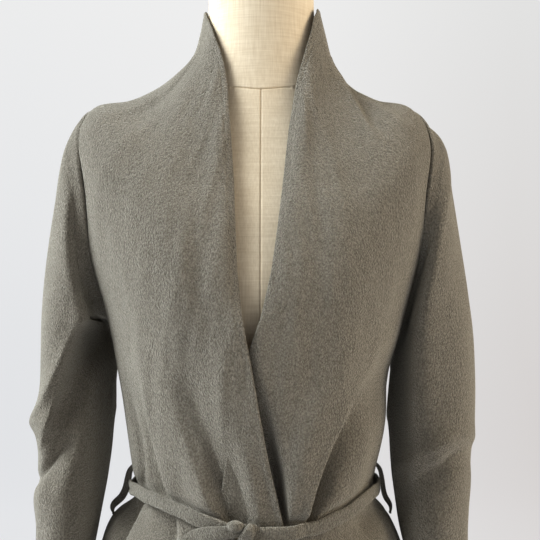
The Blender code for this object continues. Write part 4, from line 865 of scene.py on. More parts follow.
def front_places(side, which):
    """Angle and level of each grid point of a front: a row from its seam to its free edge."""
    sides = side_levels()
    seam_angle = [np.full(len(sides), side * np.pi / 2)]
    seam_level, edge_level = [sides], [sides]
    top, tip, neck = level("armpit"), level("shoulder_tip"), level("neck_base")
    angle, place = armhole_places(-ARMHOLE_SWING_FRONT)
    seam_angle.append(side * angle)
    seam_level.append(place)
    edge_level.append(top + (tip - top) * np.arange(1, ARMHOLE_STEPS + 1) / ARMHOLE_STEPS)
    shoulder = shoulder_levels()
    seam_angle.append(np.full(len(shoulder), side * np.pi / 2))
    seam_level.append(shoulder)
    edge_level.append(shoulder)
    front_edge = edge_angle(which, np.concatenate(edge_level))
    share = np.arange(1, NECK_STEPS + 1) / NECK_STEPS
    start = abs(edge_angle(which, np.array([neck]))[0])
    edge_turn = start + (np.pi - start) * share

    def inside_edge(middle):
        point = ring_point(side * edge_turn, middle)
        return (edge_turn > np.pi / 2) | (np.abs(point[..., 0]) > np.abs(edge_x(which, point[..., 2])))
    neck_level = halve(np.full(NECK_STEPS, neck), np.full(NECK_STEPS, level("collar_top")), inside_edge)
    seam_angle.append(side * (np.pi / 2) * (1 + share))
    seam_level.append(np.full(NECK_STEPS, neck))
    edge_level.append(neck_level)
    starts = np.concatenate(seam_angle)[:, None], np.concatenate(seam_level)[:, None]
    ends = np.concatenate([front_edge, side * edge_turn])[:, None], np.concatenate(edge_level)[:, None]
    column = columns_to_rim(FRONT_COLUMNS)
    return tuple(a + (b - a) * column for a, b in zip(starts, ends))


def back_places():
    """Angle and level of each grid point of the back: a row from the right side to the left side."""
    sides, shoulder = side_levels(), shoulder_levels()
    angle, place = armhole_places(ARMHOLE_SWING_BACK)
    angle = np.concatenate([np.full(len(sides), np.pi / 2), angle, np.full(len(shoulder), np.pi / 2)])
    place = np.concatenate([sides, place, shoulder])
    share = np.linspace(0.0, 1.0, BACK_COLUMNS + 1)
    angle = angle[:, None] + (2 * np.pi - 2 * angle[:, None]) * share
    return angle, np.repeat(place[:, None], BACK_COLUMNS + 1, axis=1)


def make(name, vertices, faces, material, replaces=(), sharp=None):
    """A smooth-shaded piece from arrays, riding on the body."""
    mesh = bpy.data.meshes.new(name)
    vertices = np.asarray(vertices, dtype=np.float32)
    sizes = np.array([len(face) for face in faces], dtype=np.int32)
    corners = np.concatenate([np.asarray(face, dtype=np.int32) for face in faces])
    mesh.vertices.add(len(vertices))
    mesh.vertices.foreach_set("co", vertices.ravel())
    mesh.loops.add(len(corners))
    mesh.loops.foreach_set("vertex_index", corners)
    mesh.polygons.add(len(sizes))
    mesh.polygons.foreach_set("loop_start", np.concatenate([[0], np.cumsum(sizes)[:-1]]).astype(np.int32))
    mesh.update(calc_edges=True)
    mesh.validate()
    mesh.shade_smooth()
    if sharp:
        mesh.set_sharp_from_angle(angle=np.radians(sharp))
    piece = bpy.data.objects.new(name, mesh)
    bpy.context.scene.collection.objects.link(piece)
    mesh.materials.append(material)
    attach(piece, "root")
    if replaces:
        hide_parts(*replaces)
    return piece


def shell_faces(rows, columns, wrap):
    """Faces of a wall with an outer grid, an inner grid and closed rims."""
    outer = np.arange(rows * columns).reshape(rows, columns)
    if wrap:
        outer = np.concatenate([outer, outer[:, :1]], axis=1)
    inner = outer + rows * columns
    faces = [
        np.stack([outer[:-1, :-1], outer[:-1, 1:], outer[1:, 1:], outer[1:, :-1]], -1).reshape(-1, 4),
        np.stack([inner[:-1, :-1], inner[1:, :-1], inner[1:, 1:], inner[:-1, 1:]], -1).reshape(-1, 4),
        np.stack([outer[0, :-1], inner[0, :-1], inner[0, 1:], outer[0, 1:]], -1),
        np.stack([outer[-1, :-1], outer[-1, 1:], inner[-1, 1:], inner[-1, :-1]], -1)]
    if not wrap:
        faces.append(np.stack([outer[:-1, 0], outer[1:, 0], inner[1:, 0], inner[:-1, 0]], -1))
        faces.append(np.stack([outer[:-1, -1], inner[:-1, -1], inner[1:, -1], outer[1:, -1]], -1))
    return np.concatenate(faces)


def distance_along(grid, axis, from_end):
    """How far each grid point is from one end of its row (axis 1) or column (axis 0)."""
    steps = np.linalg.norm(np.diff(grid, axis=axis), axis=-1)
    pad = [(0, 0), (0, 0)]
    pad[axis] = (1, 0)
    walked = np.cumsum(np.pad(steps, pad), axis=axis)
    if from_end:
        total = walked[:, -1:] if axis == 1 else walked[-1:]
        return total - walked
    return walked


def rim_share(distance):
    """Share of the wall's half thickness near a free edge, so that the edge is round."""
    near = np.clip(distance / RIM, 0.0, 1.0)
    return np.sqrt(np.maximum(1.0 - (1.0 - near) ** 2, RIM_FLOOR))


def seam_relief(distance, dip=SEAM_DIP, roll=SEAM_ROLL):
    """A seam's groove, and the small roll of the turned cloth beside it."""
    beside = np.exp(-((distance - SEAM_ROLL_PLACE) / SEAM_ROLL_WIDTH) ** 2)
    return -dip * np.exp(-(distance / SEAM_DIP_WIDTH) ** 2) + roll * beside


def stitch_relief(distance, stitch):
    """The shallow line that a row of stitches draws in the cloth, from the distance to an edge."""
    line = dict(zip(STITCH_COLUMNS, stitch))
    return -line["dip"] * np.exp(-((distance - line["place"]) / line["width"]) ** 2)


def pull_in(grid, step):
    """Moves the border points of a grid a little way inwards along its rows and columns."""
    moved = grid.copy()
    moved[:, 0] += unit(grid[:, 1] - grid[:, 0]) * step
    moved[:, -1] += unit(grid[:, -2] - grid[:, -1]) * step
    moved[0] += unit(grid[1] - grid[0]) * step
    moved[-1] += unit(grid[-2] - grid[-1]) * step
    return moved


def add_wall(name, face, normals, half, wrap, flip, material):
    """The wall of a piece of cloth behind its outer face, half its share of the thickness at the rims."""
    middle = face - normals * (WALL / 2)
    outer = middle + normals * (WALL / 2 * half)[..., None]
    inner = middle - normals * (WALL / 2 * half)[..., None]
    if not wrap:
        outer, inner = pull_in(outer, SEAM_STEP), pull_in(inner, SEAM_STEP)
    if flip:
        outer, inner = outer[:, ::-1], inner[:, ::-1]
    rows, columns = outer.shape[:2]
    vertices = np.concatenate([outer.reshape(-1, 3), inner.reshape(-1, 3)])
    return make(name + "_cloth", vertices, shell_faces(rows, columns, wrap), material, (name,))


def add_panel(name, piece, places, material, free_side, flip=False):
    """A cut piece of the coat as a wall with round free edges and seam relief."""
    angle, place = places
    surface = coat_surface(piece)
    outer = surface(angle, place)
    normals = normals_of(surface, angle, place)
    hem = distance_along(outer, 0, False)
    relief = seam_relief(distance_along(outer, 1, False))
    if not free_side:
        relief += seam_relief(distance_along(outer, 1, True))
        relief += seam_relief(distance_along(outer, 0, True))
    relief += stitch_relief(hem, HEM_STITCH)
    outer = outer + normals * relief[..., None]
    half = rim_share(hem)
    if free_side:
        edge = distance_along(outer, 1, True)
        half = np.minimum(half, rim_share(edge))
        outer = outer + normals * stitch_relief(edge, EDGE_STITCH)[..., None]
    return add_wall(name, outer, normals, half, False, flip, material)


def fold_share(fold, across, down):
    """Share of the depth of a sleeve's fold or hollow where the picture shows the points."""
    path, along, off_axis = fold["points"], down, across
    if fold["run"] == "across":
        path = [(point[1], point[0], *point[2:]) for point in path]
        along, off_axis = across, down
    return one_fold(path, along, off_axis, fold["before"], fold["after"], fold["power"])


def sleeve_fold_height(points, side):
    """How far the sleeve's folds move its points."""
    front = picture(points)
    behind = picture(points, flat=True)
    total = np.zeros_like(front[0])
    for row in SLEEVE_FOLDS.values():
        fold = dict(zip(SLEEVE_FOLD_COLUMNS, row))
        if fold["side"] != side:
            continue
        across, down = front if fold["face"] > 0 else behind
        facing = smooth((-fold["face"] * points[..., 1] - FACING_START) / FACING_RAMP)
        share = fold_share(fold, across, down)
        total += fold["depth"] / 1000.0 * share * facing
    return total


def hollow_depth(points, side):
    """How far the sleeve's hollows go straight back."""
    across, down = picture(points)
    total = np.zeros_like(across)
    for row in HOLLOWS.values():
        fold = dict(zip(HOLLOW_COLUMNS, row))
        if fold["side"] != side:
            continue
        total += fold["depth"] / 1000.0 * fold_share(fold, across, down)
    return total * np.clip((HOLLOW_BACK - points[..., 1]) / HOLLOW_REACH, 0.0, 1.0)


def grid_normals(grid, sign):
    """Normals of a tube's grid from its neighbours, times a sign."""
    round_it = np.roll(grid, -1, axis=1) - np.roll(grid, 1, axis=1)
    along = np.empty_like(grid)
    along[1:-1] = grid[2:] - grid[:-2]
    along[0] = grid[1] - grid[0]
    along[-1] = grid[-1] - grid[-2]
    return unit(np.cross(round_it, along)) * sign


def armhole_loop(side):
    """Armhole points from the top down the front and up the back, and the way out of the armhole."""
    front_angle, front_place = armhole_places(-ARMHOLE_SWING_FRONT)
    back_angle, back_place = armhole_places(ARMHOLE_SWING_BACK)
    angle = side * np.concatenate([front_angle[::-1], [np.pi / 2], back_angle[:-1]])
    place = np.concatenate([front_place[::-1], [level("armpit")], back_place[:-1]])
    points = ring_point(angle, place)
    normals = normals_of(ring_point, angle, place)
    along = np.roll(points, -1, axis=0) - np.roll(points, 1, axis=0)
    way = unit(np.cross(along, normals))
    middle = points.mean(axis=0)
    away = np.sign((way * (points - middle + np.array([side * 0.5, 0, 0]))).sum(axis=1))
    return points, way * away[:, None]


def add_sleeve(name, table, side, material):
    """A sleeve as a wall from the armhole to the cuff."""
    sizes = np.array([table[key] + SLEEVE_SHARED[key] for key in table])
    last = len(table) - 1.0
    places = np.concatenate([
        np.linspace(0, last - SLEEVE_LAST_ROW, SLEEVE_ROWS), last - np.array(CUFF_ROWS)])
    turn = np.pi * np.arange(2 * ARMHOLE_STEPS) / ARMHOLE_STEPS
    rows = spline_rows(sizes, places)
    size = {key: rows[:, i:i + 1] for i, key in enumerate(SLEEVE_SIDE_COLUMNS + SLEEVE_SHARED_COLUMNS)}
    power = 2.0 / size["square"]
    out_share = np.sign(np.cos(turn)) * np.abs(np.cos(turn)) ** power
    deep_share = np.sign(np.sin(turn)) * np.abs(np.sin(turn)) ** power
    x = (size["x_out"] + size["x_in"]) / 2 + (size["x_out"] - size["x_in"]) / 2 * out_share
    z = (size["z_out"] + size["z_in"]) / 2 + (size["z_out"] - size["z_in"]) / 2 * out_share
    y = size["y_mid"] - size["half_depth"] * deep_share
    rings = np.stack([side * x, y, z], axis=-1)
    points, way = armhole_loop(side)
    miss = points + way * 2 * SEAM_STEP - rings[0]
    fade = np.interp(places, np.arange(len(SLEEVE_SEAT_FADE)), SLEEVE_SEAT_FADE)
    rings = rings + miss * fade[:, None, None]
    normals = grid_normals(rings, side)
    settle = smooth((places - SETTLE_START) / SETTLE_RAMP) * smooth(places[-1] - places + SETTLE_CUFF)
    settle = settle[:, None]
    which = "left" if side < 0 else "right"
    height = sleeve_fold_height(rings, which) * settle
    height = height + swell_height(rings) * settle
    from_seam = distance_along(rings, 0, False)
    from_cuff = distance_along(rings, 0, True)
    height = height + seam_relief(from_seam, SLEEVE_SEAM_DIP, SLEEVE_SEAM_ROLL)
    head = from_seam / SLEEVE_HEAD_REACH
    height = height + SLEEVE_HEAD * head * np.exp(1.0 - head)
    height = height + stitch_relief(from_cuff, CUFF_STITCH)
    rings = rings + normals * height[..., None]
    rings[..., 1] += hollow_depth(rings, which) * settle
    normals = grid_normals(rings, side)
    return add_wall(name, rings, normals, rim_share(from_cuff), True, side < 0, material)


def front_y(x, z):
    """y of the over front's outer face, or of the smooth lapped front where a fold dips."""
    surface = coat_surface("over")
    x, z = np.asarray(x, float), np.asarray(z, float)
    angle = np.zeros_like(x)
    for _ in range(FRONT_ROUNDS):
        place = level_at_height(angle, z, 0.0, level("chest"))
        size = sizes_at(place)
        half = np.where(x > 0, size["right"], size["left"])
        angle = np.sign(x) * np.arcsin(np.clip(np.abs(x) / half, 0, 1) ** (size["square"] / 2.0))
    smooth_y = ring_point(angle, place)[..., 1] - LAP_LIFT
    return np.minimum(smooth_y, surface(angle, place)[..., 1])


def tube_faces(count, sides, first=0):
    """Faces of a tube of rings with closed ends."""
    grid = first + np.arange(count * sides).reshape(count, sides)
    grid = np.concatenate([grid, grid[:, :1]], axis=1)
    quads = np.stack([grid[:-1, :-1], grid[:-1, 1:], grid[1:, 1:], grid[1:, :-1]], -1).reshape(-1, 4)
    return [tuple(q) for q in quads] + [tuple(grid[0, :-1][::-1]), tuple(grid[-1, :-1])]


def strap_rings(centres, faces_out, widths, thicknesses, groove=0.0):
    """Rings of a flat strap along a line. groove is the depth of the channel down its outer face."""
    centres, faces_out = np.array(centres), unit(np.array(faces_out))
    along = np.gradient(centres, axis=0)
    across = unit(np.cross(along, faces_out))
    faces_out = unit(np.cross(across, along))
    turn = 2 * np.pi * (np.arange(STRAP_SIDES) + 0.5) / STRAP_SIDES
    wide = np.sign(np.cos(turn)) * np.abs(np.cos(turn)) ** STRAP_POWER
    deep = np.sign(np.sin(turn)) * np.abs(np.sin(turn)) ** STRAP_POWER
    half_wide = np.broadcast_to(widths, len(centres))[:, None, None] / 2
    half_deep = np.broadcast_to(thicknesses, len(centres))[:, None, None] / 2
    channel = np.where(deep > 0, np.exp(-((wide - GROOVE_PLACE) / GROOVE_WIDTH) ** 2), 0.0)
    cut = np.broadcast_to(groove, len(centres))[:, None, None] * channel[None, :, None]
    return (centres[:, None] + across[:, None] * half_wide * wide[None, :, None]
            + faces_out[:, None] * (half_deep * deep[None, :, None] - cut)), along, across, faces_out


def add_strap(name, straps, material, replaces=()):
    """One piece of one or more straps, with rounded ends. Each strap is (centres, faces out, widths,
    thicknesses, groove)."""
    vertices, faces = [], []
    for centres, faces_out, widths, thicknesses, groove in straps:
        rings, along, across, out = strap_rings(centres, faces_out, widths, thicknesses, groove)
        first, last = rings[0].mean(axis=0), rings[-1].mean(axis=0)
        step = unit(along[0]) * STRAP_END_STEP, unit(along[-1]) * STRAP_END_STEP
        rings = np.concatenate([
            (first + (rings[0] - first) * STRAP_END_SHARE - step[0])[None], rings,
            (last + (rings[-1] - last) * STRAP_END_SHARE + step[1])[None]])
        start = sum(len(v) for v in vertices)
        made = tube_faces(len(rings), rings.shape[1], start)
        if np.dot(np.cross(across[0], out[0]), along[0]) < 0:
            made = [face[::-1] for face in made]
        vertices.append(rings.reshape(-1, 3))
        faces += made
    return make(name, np.concatenate(vertices), faces, material, replaces)


def on_front(rows, steps):
    """A strap on the front from rows of a strap table, as the first four entries that add_strap takes."""
    table = spline_rows(np.array(rows, dtype=float), np.linspace(0, len(rows) - 1, steps))
    size = dict(zip(STRAP_COLUMNS, table.T))
    pixel = (FRONT_Y - STRAP_FRONT - CAMERA[1]) * SENSOR / LENS / PICTURE
    x = CAMERA[0] + (size["across"] - PICTURE / 2) * pixel
    z = CAMERA[2] - (size["down"] - PICTURE / 2) * pixel
    y = front_y(x, z)
    slope = (front_y(x, z + SLOPE_STEP) - front_y(x, z - SLOPE_STEP)) / (2 * SLOPE_STEP)
    lean = unit(np.stack([np.zeros_like(x), -np.ones_like(x), slope], axis=-1))
    centres = np.stack([x, y, z], axis=-1) + lean * size["stand_off"][:, None]
    return centres, lean, size["width"], size["thickness"]


def belt_line(steps):
    """Middle line of the belt, from the right of the knot round the back to its left, and its outward."""
    middle = (level("belt_low") + level("belt_high")) / 2.0
    ahead = np.linspace(-np.pi / 4, np.pi / 4, BELT_AHEAD_STEPS)
    ahead_x = ring_point(ahead, np.full_like(ahead, middle))[:, 0]
    first = np.interp(BELT_START_X, ahead_x, ahead)
    last = np.interp(BELT_END_X, ahead_x, ahead) + 2 * np.pi
    angle = np.linspace(first, last, steps)
    heights, ease = belt_shape(angle)
    place = level_at_height(angle, heights, middle - 1, level("high_waist"))
    points = ring_point(angle, place)
    outward = normals_of(ring_point, angle, place)
    outward[:, 2] = 0.0
    outward = unit(outward)
    lap = lap_height(points, "over") * (np.cos(angle) > 0)
    past_edge = smooth((edge_x("over", points[:, 2]) + BELT_EDGE_REACH - points[:, 0]) / BELT_EDGE_RAMP)
    off = lap * past_edge + ease + BELT_THICKNESS / 2
    return points + outward * off[:, None], outward, angle


def wave(angle, row):
    """A small wave round the belt."""
    shape = dict(zip(WAVE_COLUMNS, row))
    return shape["size"] * np.sin(angle * shape["count"] + shape["shift"])


def add_belt(material):
    """The belt with its channel, its knot and its two free ends."""
    line, outward, angle = belt_line(BELT_STEPS)
    left = smooth(-np.sin(angle) * BELT_LEFT_SLOPE + BELT_LEFT_SHIFT) * (np.cos(angle) > BELT_LEFT_END)
    wander = sum(wave(angle, row) for row in BELT_WANDER)
    line = line + np.array([0.0, 0.0, 1.0]) * wander[:, None]
    width = BELT_WIDTH * (1.0 + wave(angle, BELT_WIDTH_WAVE))
    groove = BELT_GROOVE + BELT_GROOVE_LEFT * left
    thickness = BELT_THICKNESS * (1 + BELT_FULLER_LEFT * left)
    ring = (line, outward, width, thickness, groove)
    belt = add_strap("belt_cloth", [ring], material, ("belt",))
    lump = (*on_front(KNOT_LUMP, KNOT_LUMP_STEPS), 0.0)
    wrap = (*on_front(KNOT_WRAP, KNOT_WRAP_STEPS), KNOT_GROOVE)
    neck = (*on_front(KNOT_NECK, KNOT_NECK_STEPS), KNOT_GROOVE)
    add_strap("belt_knot_cloth", [lump, wrap, neck], material, ("belt_knot",))
    ends = []
    for name, rows, steps in (
            ("belt_end_right", END_RIGHT, END_RIGHT_STEPS), ("belt_end_left", END_LEFT, END_LEFT_STEPS)):
        end = (*on_front(rows, steps), END_GROOVE)
        ends.append(add_strap(name + "_cloth", [end], material, (name,)))
    return belt, *ends


def add_loop(name, rows, side, material):
    """A belt loop at a side seam, standing off the coat and over the belt, its face turned forwards."""
    line = spline_rows(np.array(rows), np.linspace(0, len(rows) - 1, LOOP_STEPS))
    place = level_at_height(np.full(len(line), side * np.pi / 2), line[:, 0], 0.0, level("chest"))
    seam = ring_point(np.full(len(line), side * np.pi / 2), place)
    centres = np.stack([seam[:, 0] + side * line[:, 1], np.zeros(len(line)), line[:, 0]], axis=-1)
    along = np.gradient(centres, axis=0)
    outward = unit(side * np.stack([-along[:, 2], along[:, 1], along[:, 0]], axis=-1))
    twist = np.radians(LOOP_TWIST_LEFT if side < 0 else LOOP_TWIST_RIGHT)
    twist = (twist * np.sin(np.pi * np.linspace(0, 1, len(line))) ** LOOP_TWIST_POWER)[:, None]
    outward = outward * np.cos(twist) + np.array([0.0, -1.0, 0.0]) * np.sin(twist)
    return add_strap(name + "_cloth", [(centres, outward, LOOP_WIDTH, LOOP_THICKNESS, LOOP_GROOVE)],
                     material, (name,))


def form_ring(turn, place):
    """A ring of the form. On the shoulders it comes up to carry the coat along the seam."""
    inside = ring_point(turn, place, inside=True)
    outer = ring_point(turn, place)
    carried = outer - normals_of(ring_point, turn, place) * (WALL + SEAT_GAP)
    rise = smooth((place - level("armhole_top")) / SEAT_RISE)
    fall = smooth((level("neck_base") - place) / SEAT_RISE)
    near_seam = smooth((np.abs(np.sin(turn)) - SEAT_FROM) / (1.0 - SEAT_FROM))
    share = (rise * fall * near_seam)[..., None]
    return inside * (1 - share) + carried * share


def add_form(material):
    """The dress form with its cover's seams."""
    turn = 2 * np.pi * np.arange(FORM_SIDES) / FORM_SIDES
    turn = turn - FORM_CROWD * np.sin(turn)
    first = level("thigh") + (FORM_BOTTOM - SECTIONS["thigh"][0]) / (
        SECTIONS["hip"][0] - SECTIONS["thigh"][0])
    bottom = form_ring(turn, np.full_like(turn, first))
    bottom[:, 2] = FORM_BOTTOM
    rings = []
    for scale, lift in FORM_BOTTOM_RINGS:
        ring = bottom * np.array([scale, scale, 1.0])
        ring[:, 2] += lift
        rings.append(ring)
    seam = float(level_at_height(np.zeros(1), np.array([NECK_SEAM]), 0.0, level("collar_top"))[0])
    places = np.linspace(level("hip"), level("collar_top"), FORM_ROWS)
    places = places[np.abs(places - seam) > SEAM_ROWS_REACH]
    close = np.linspace(-SEAM_ROWS_REACH, SEAM_ROWS_REACH, SEAM_ROWS)
    places = np.sort(np.concatenate([places, seam + close]))
    for place in places:
        rings.append(form_ring(turn, np.full_like(turn, place)))
    top = rings[-1]
    heights = np.array([top[:, 2].mean()] + [row[0] for row in NECK_RINGS])
    scales = np.array([1.0] + [row[1] for row in NECK_RINGS])
    dome = spline_rows(np.stack([heights, scales], axis=-1), np.linspace(0, len(heights) - 1, DOME_ROWS))
    for step, (height, scale) in enumerate(dome[1:], 1):
        ring = top * np.array([scale, scale, 1.0])
        blend = min(1.0, step / DOME_BLEND)
        ring[:, 2] = top[:, 2] * (1 - blend) + height * blend + (height - heights[0]) * (1 - blend)
        rings.append(ring)
    grid = np.array(rings)
    normals = grid_normals(grid, 1.0)
    x, z = grid[..., 0], grid[..., 2]
    ahead = grid[..., 1] < 0
    centre = np.where(ahead, np.abs(x - CENTRE_SEAM_X), 1.0)
    neck_line = NECK_SEAM + NECK_SEAM_RISE * (1.0 - np.exp(-(x / NECK_SEAM_RISE_WIDTH) ** 2))
    below = z < neck_line
    dip = CENTRE_SEAM_DIP * np.exp(-(centre / COVER_SEAM_WIDTH) ** 2) * (z < neck_line + CENTRE_SEAM_TOP)
    dip = dip + NECK_SEAM_DIP * np.exp(-((z - neck_line) / COVER_SEAM_WIDTH) ** 2)
    spread = PRINCESS_SPREAD * np.abs(z - PRINCESS_WAIST) ** PRINCESS_POWER
    princess = np.abs(np.abs(x) - (PRINCESS_X + spread))
    dip = dip + PRINCESS_DIP * np.exp(-(princess / PRINCESS_WIDTH) ** 2) * below
    grid = grid - normals * dip[..., None]
    count, sides = grid.shape[:2]
    faces = tube_faces(count, sides)[:-2]
    vertices = np.concatenate([grid.reshape(-1, 3), [(0.0, 0.0, FORM_BOTTOM), (0.0, 0.0, NECK_TOP)]])
    total = count * sides
    for j in range(sides):
        k = (j + 1) % sides
        faces.append((j, total, k))
        faces.append(((count - 1) * sides + j, (count - 1) * sides + k, total + 1))
    return make("form_cover", vertices, faces, material, ("form_body",))


def set_sockets(node, values):
    """Fixed values on a node's own sockets."""
    for name, value in values.items():
        node.inputs[name].default_value = value


def new_material(name):
    """A material, its node tree, its shader, and where a point lies in the object."""
    material = bpy.data.materials.new(name)
    material.use_nodes = True
    tree = material.node_tree
    where = tree.nodes.new("ShaderNodeTexCoord").outputs["Object"]
    return material, tree, tree.nodes["Principled BSDF"], where


def add_noise(tree, where, name):
    """A named noise over the object, stretched along its axes. Returns its output from 0 to 1."""
    shape = dict(zip(NOISE_COLUMNS, NOISES[name]))
    mapping = tree.nodes.new("ShaderNodeMapping")
    set_sockets(mapping, {"Scale": shape["stretch"]})
    tree.links.new(where, mapping.inputs["Vector"])
    noise = tree.nodes.new("ShaderNodeTexNoise")
    set_sockets(noise, {
        "Scale": shape["scale"], "Detail": shape["detail"], "Roughness": shape["rough"],
        "Distortion": shape["distortion"]})
    tree.links.new(mapping.outputs["Vector"], noise.inputs["Vector"])
    return noise.outputs["Fac"]


def add_math(tree, operation, *values):
    """A math node on outputs or numbers."""
    node = tree.nodes.new("ShaderNodeMath")
    node.operation = operation
    for socket, value in zip(node.inputs, values):
        if isinstance(value, (int, float)):
            socket.default_value = value
        else:
            tree.links.new(value, socket)
    return node.outputs["Value"]


def add_noises(tree, where, shares):
    """Named noises, and the sum of them, each times its share."""
    noises, total = {}, 0.0
    for name, share in shares.items():
        noises[name] = add_noise(tree, where, name)
        total = add_math(tree, "MULTIPLY_ADD", noises[name], share, total)
    return noises, total


def add_ramp(tree, value, places, colours):
    """A colour ramp with its colours at places from 0 to 1."""
    node = tree.nodes.new("ShaderNodeValToRGB")
    ramp = node.color_ramp
    while len(ramp.elements) < len(places):
        ramp.elements.new(0.5)
    for element, place, colour in zip(ramp.elements, places, colours):
        element.position = place
        element.color = (*colour, 1.0)
    tree.links.new(value, node.inputs["Fac"])
    return node.outputs["Color"]


def add_bump(tree, shader, height, distance, strength):
    """Fine relief from a height output."""
    node = tree.nodes.new("ShaderNodeBump")
    set_sockets(node, {"Strength": strength, "Distance": distance})
    tree.links.new(height, node.inputs["Height"])
    tree.links.new(node.outputs["Normal"], shader.inputs["Normal"])


def wool_material(name, colours):
    """Felted wool: heathered fibres, a slow mottle and a soft nap."""
    material, tree, shader, where = new_material(name)
    noises, mixed = add_noises(tree, where, WOOL_SHARES)
    colour = add_ramp(tree, mixed, WOOL_STOPS, colours)
    tree.links.new(colour, shader.inputs["Base Color"])
    set_sockets(shader, WOOL_SHADER)
    fuzz = add_noise(tree, where, "fuzz")
    height = add_math(tree, "MULTIPLY_ADD", fuzz, FUZZ_SHARE, noises["fibre"])
    add_bump(tree, shader, height, *WOOL_RELIEF)
    return material


def linen_material():
    """Plain-woven linen with uneven yarns both ways."""
    material, tree, shader, where = new_material("linen_weave")
    mixed = add_noises(tree, where, LINEN_SHARES)[1]
    colour = add_ramp(tree, mixed, LINEN_STOPS, LINEN_COLOURS)
    tree.links.new(colour, shader.inputs["Base Color"])
    set_sockets(shader, LINEN_SHADER)
    add_bump(tree, shader, mixed, *LINEN_RELIEF)
    return material


def wood_material():
    """Dark satin wood with streaks of grain."""
    material, tree, shader, where = new_material("dark_wood")
    grain = add_noise(tree, where, "grain")
    colour = add_ramp(tree, grain, WOOD_STOPS, WOOD_COLOURS)
    tree.links.new(colour, shader.inputs["Base Color"])
    rough = add_math(tree, "MULTIPLY_ADD", grain, *WOOD_ROUGH)
    tree.links.new(rough, shader.inputs["Roughness"])
    add_bump(tree, shader, grain, *WOOD_RELIEF)
    return material


def steel_material():
    """Brushed steel of the pole."""
    material, tree, shader, where = new_material("pole_steel")
    brushed = add_noise(tree, where, "brushed")
    colour = add_ramp(tree, brushed, STEEL_STOPS, STEEL_COLOURS)
    tree.links.new(colour, shader.inputs["Base Color"])
    set_sockets(shader, STEEL_SHADER)
    rough = add_math(tree, "MULTIPLY_ADD", brushed, *STEEL_ROUGH)
    tree.links.new(rough, shader.inputs["Roughness"])
    return material


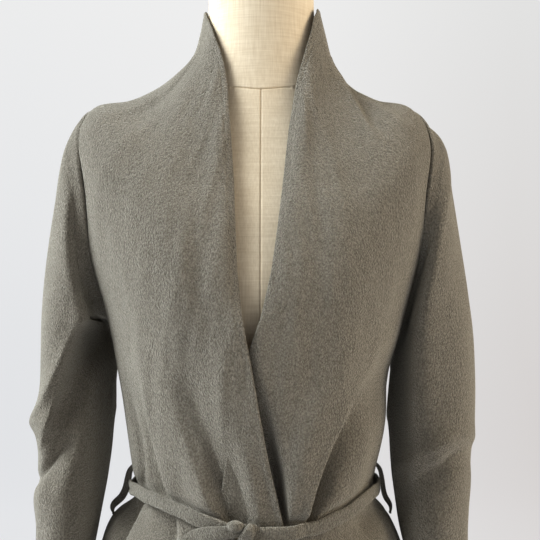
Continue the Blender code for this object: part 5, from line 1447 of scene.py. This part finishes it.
def add_stage():
    """A floor that sweeps up into a wall, its own paint nearly black under a glow of painted light: pale,
    with a slow change of tone, darker towards the floor and towards the right.
    """
    profile = [(-STAGE_REACH, 0.0), (STAGE_BEND_START, 0.0)]
    for step in range(1, STAGE_BEND_STEPS + 1):
        bend = np.pi / 2 * step / STAGE_BEND_STEPS
        rise = STAGE_BEND - STAGE_BEND * np.cos(bend)
        profile.append((STAGE_BEND_START + STAGE_BEND * np.sin(bend), rise))
    profile.append((STAGE_BEND_START + STAGE_BEND, STAGE_REACH))
    across = np.linspace(-STAGE_REACH, STAGE_REACH, STAGE_COLUMNS)
    vertices = [(x, y, z - STAGE_DROP) for y, z in profile for x in across]
    count = len(across)
    faces = [(i * count + j, i * count + j + 1, (i + 1) * count + j + 1, (i + 1) * count + j)
             for i in range(len(profile) - 1) for j in range(count - 1)]
    mesh = bpy.data.meshes.new("studio_sweep")
    mesh.from_pydata(vertices, [], faces)
    mesh.shade_smooth()
    stage = bpy.data.objects.new("studio_sweep", mesh)
    bpy.context.scene.collection.objects.link(stage)
    material, tree, shader, where = new_material("studio_glow")
    split = tree.nodes.new("ShaderNodeSeparateXYZ")
    tree.links.new(where, split.inputs["Vector"])
    side = add_math(tree, "MULTIPLY_ADD", split.outputs["X"], *STAGE_SIDE)
    rise = add_math(tree, "MULTIPLY_ADD", split.outputs["Z"], *STAGE_RISE)
    upper = add_ramp(tree, side, STAGE_STOPS, STAGE_UPPER_GLOW)
    lower = add_ramp(tree, side, STAGE_STOPS, STAGE_LOWER_GLOW)
    blend = tree.nodes.new("ShaderNodeMix")
    blend.data_type = "RGBA"
    blend.clamp_factor = True
    tree.links.new(rise, blend.inputs["Factor"])
    tree.links.new(lower, blend.inputs["A"])
    tree.links.new(upper, blend.inputs["B"])
    # The stage's glow is painted light standing in for light falling on the backdrop, darker towards the
    # floor and the right; it lights the scene though it is no lamp
    set_sockets(shader, {"Base Color": STAGE_PAINT, "Roughness": STAGE_ROUGH,
                         "Emission Strength": STAGE_GLOW})
    tree.links.new(blend.outputs["Result"], shader.inputs["Emission Color"])
    mesh.materials.append(material)


def add_light(name, place, target, size, power, colour):
    """A square soft light aimed at a point."""
    lamp = bpy.data.lights.new(name, "AREA")
    lamp.shape = "RECTANGLE"
    lamp.size, lamp.size_y = size
    lamp.energy = power
    lamp.color = colour
    thing = bpy.data.objects.new(name, lamp)
    thing.location = place
    thing.rotation_euler = (Vector(target) - Vector(place)).to_track_quat("-Z", "Y").to_euler()
    bpy.context.scene.collection.objects.link(thing)


def add_view():
    """The camera and the lights."""
    data = bpy.data.cameras.new("main_camera")
    data.lens = LENS
    data.sensor_width = SENSOR
    camera = bpy.data.objects.new("main_camera", data)
    camera.location = CAMERA
    camera.rotation_euler = (np.pi / 2, 0.0, 0.0)
    scene = bpy.context.scene
    scene.collection.objects.link(camera)
    scene.camera = camera
    scene.view_settings.view_transform = "Standard"
    scene.view_settings.look = "None"
    world = bpy.data.worlds.new("room")
    world.use_nodes = True
    set_sockets(world.node_tree.nodes["Background"], {"Color": WORLD_COLOUR, "Strength": WORLD_STRENGTH})
    scene.world = world
    for name, light in LIGHTS.items():
        add_light(name, *light)


def main():
    """Builds the looks."""
    add_view()
    add_stage()
    wool = wool_material("boiled_wool", WOOL_COLOURS)
    belt_wool = wool_material("belt_wool", BELT_COLOURS)
    over = add_panel("front_right", "over", front_places(-1, "over"), wool, True)
    under = add_panel("front_left", "under", front_places(1, "under"), wool, True, flip=True)
    back = add_panel("back", "back", back_places(), wool, False)
    sleeve_right = add_sleeve("sleeve_right", SLEEVE_LEFT, -1, wool)
    sleeve_left = add_sleeve("sleeve_left", SLEEVE_RIGHT, 1, wool)
    belt, end_right, end_left = add_belt(belt_wool)
    loop_right = add_loop("loop_right", LOOP_LEFT, -1, belt_wool)
    loop_left = add_loop("loop_left", LOOP_RIGHT, 1, belt_wool)
    add_form(linen_material())
    for node, material in (("stand_base", wood_material()), ("stand_pole", steel_material())):
        thing = frame["nodes"][node]
        thing.data.materials.clear()
        thing.data.materials.append(material)


main()
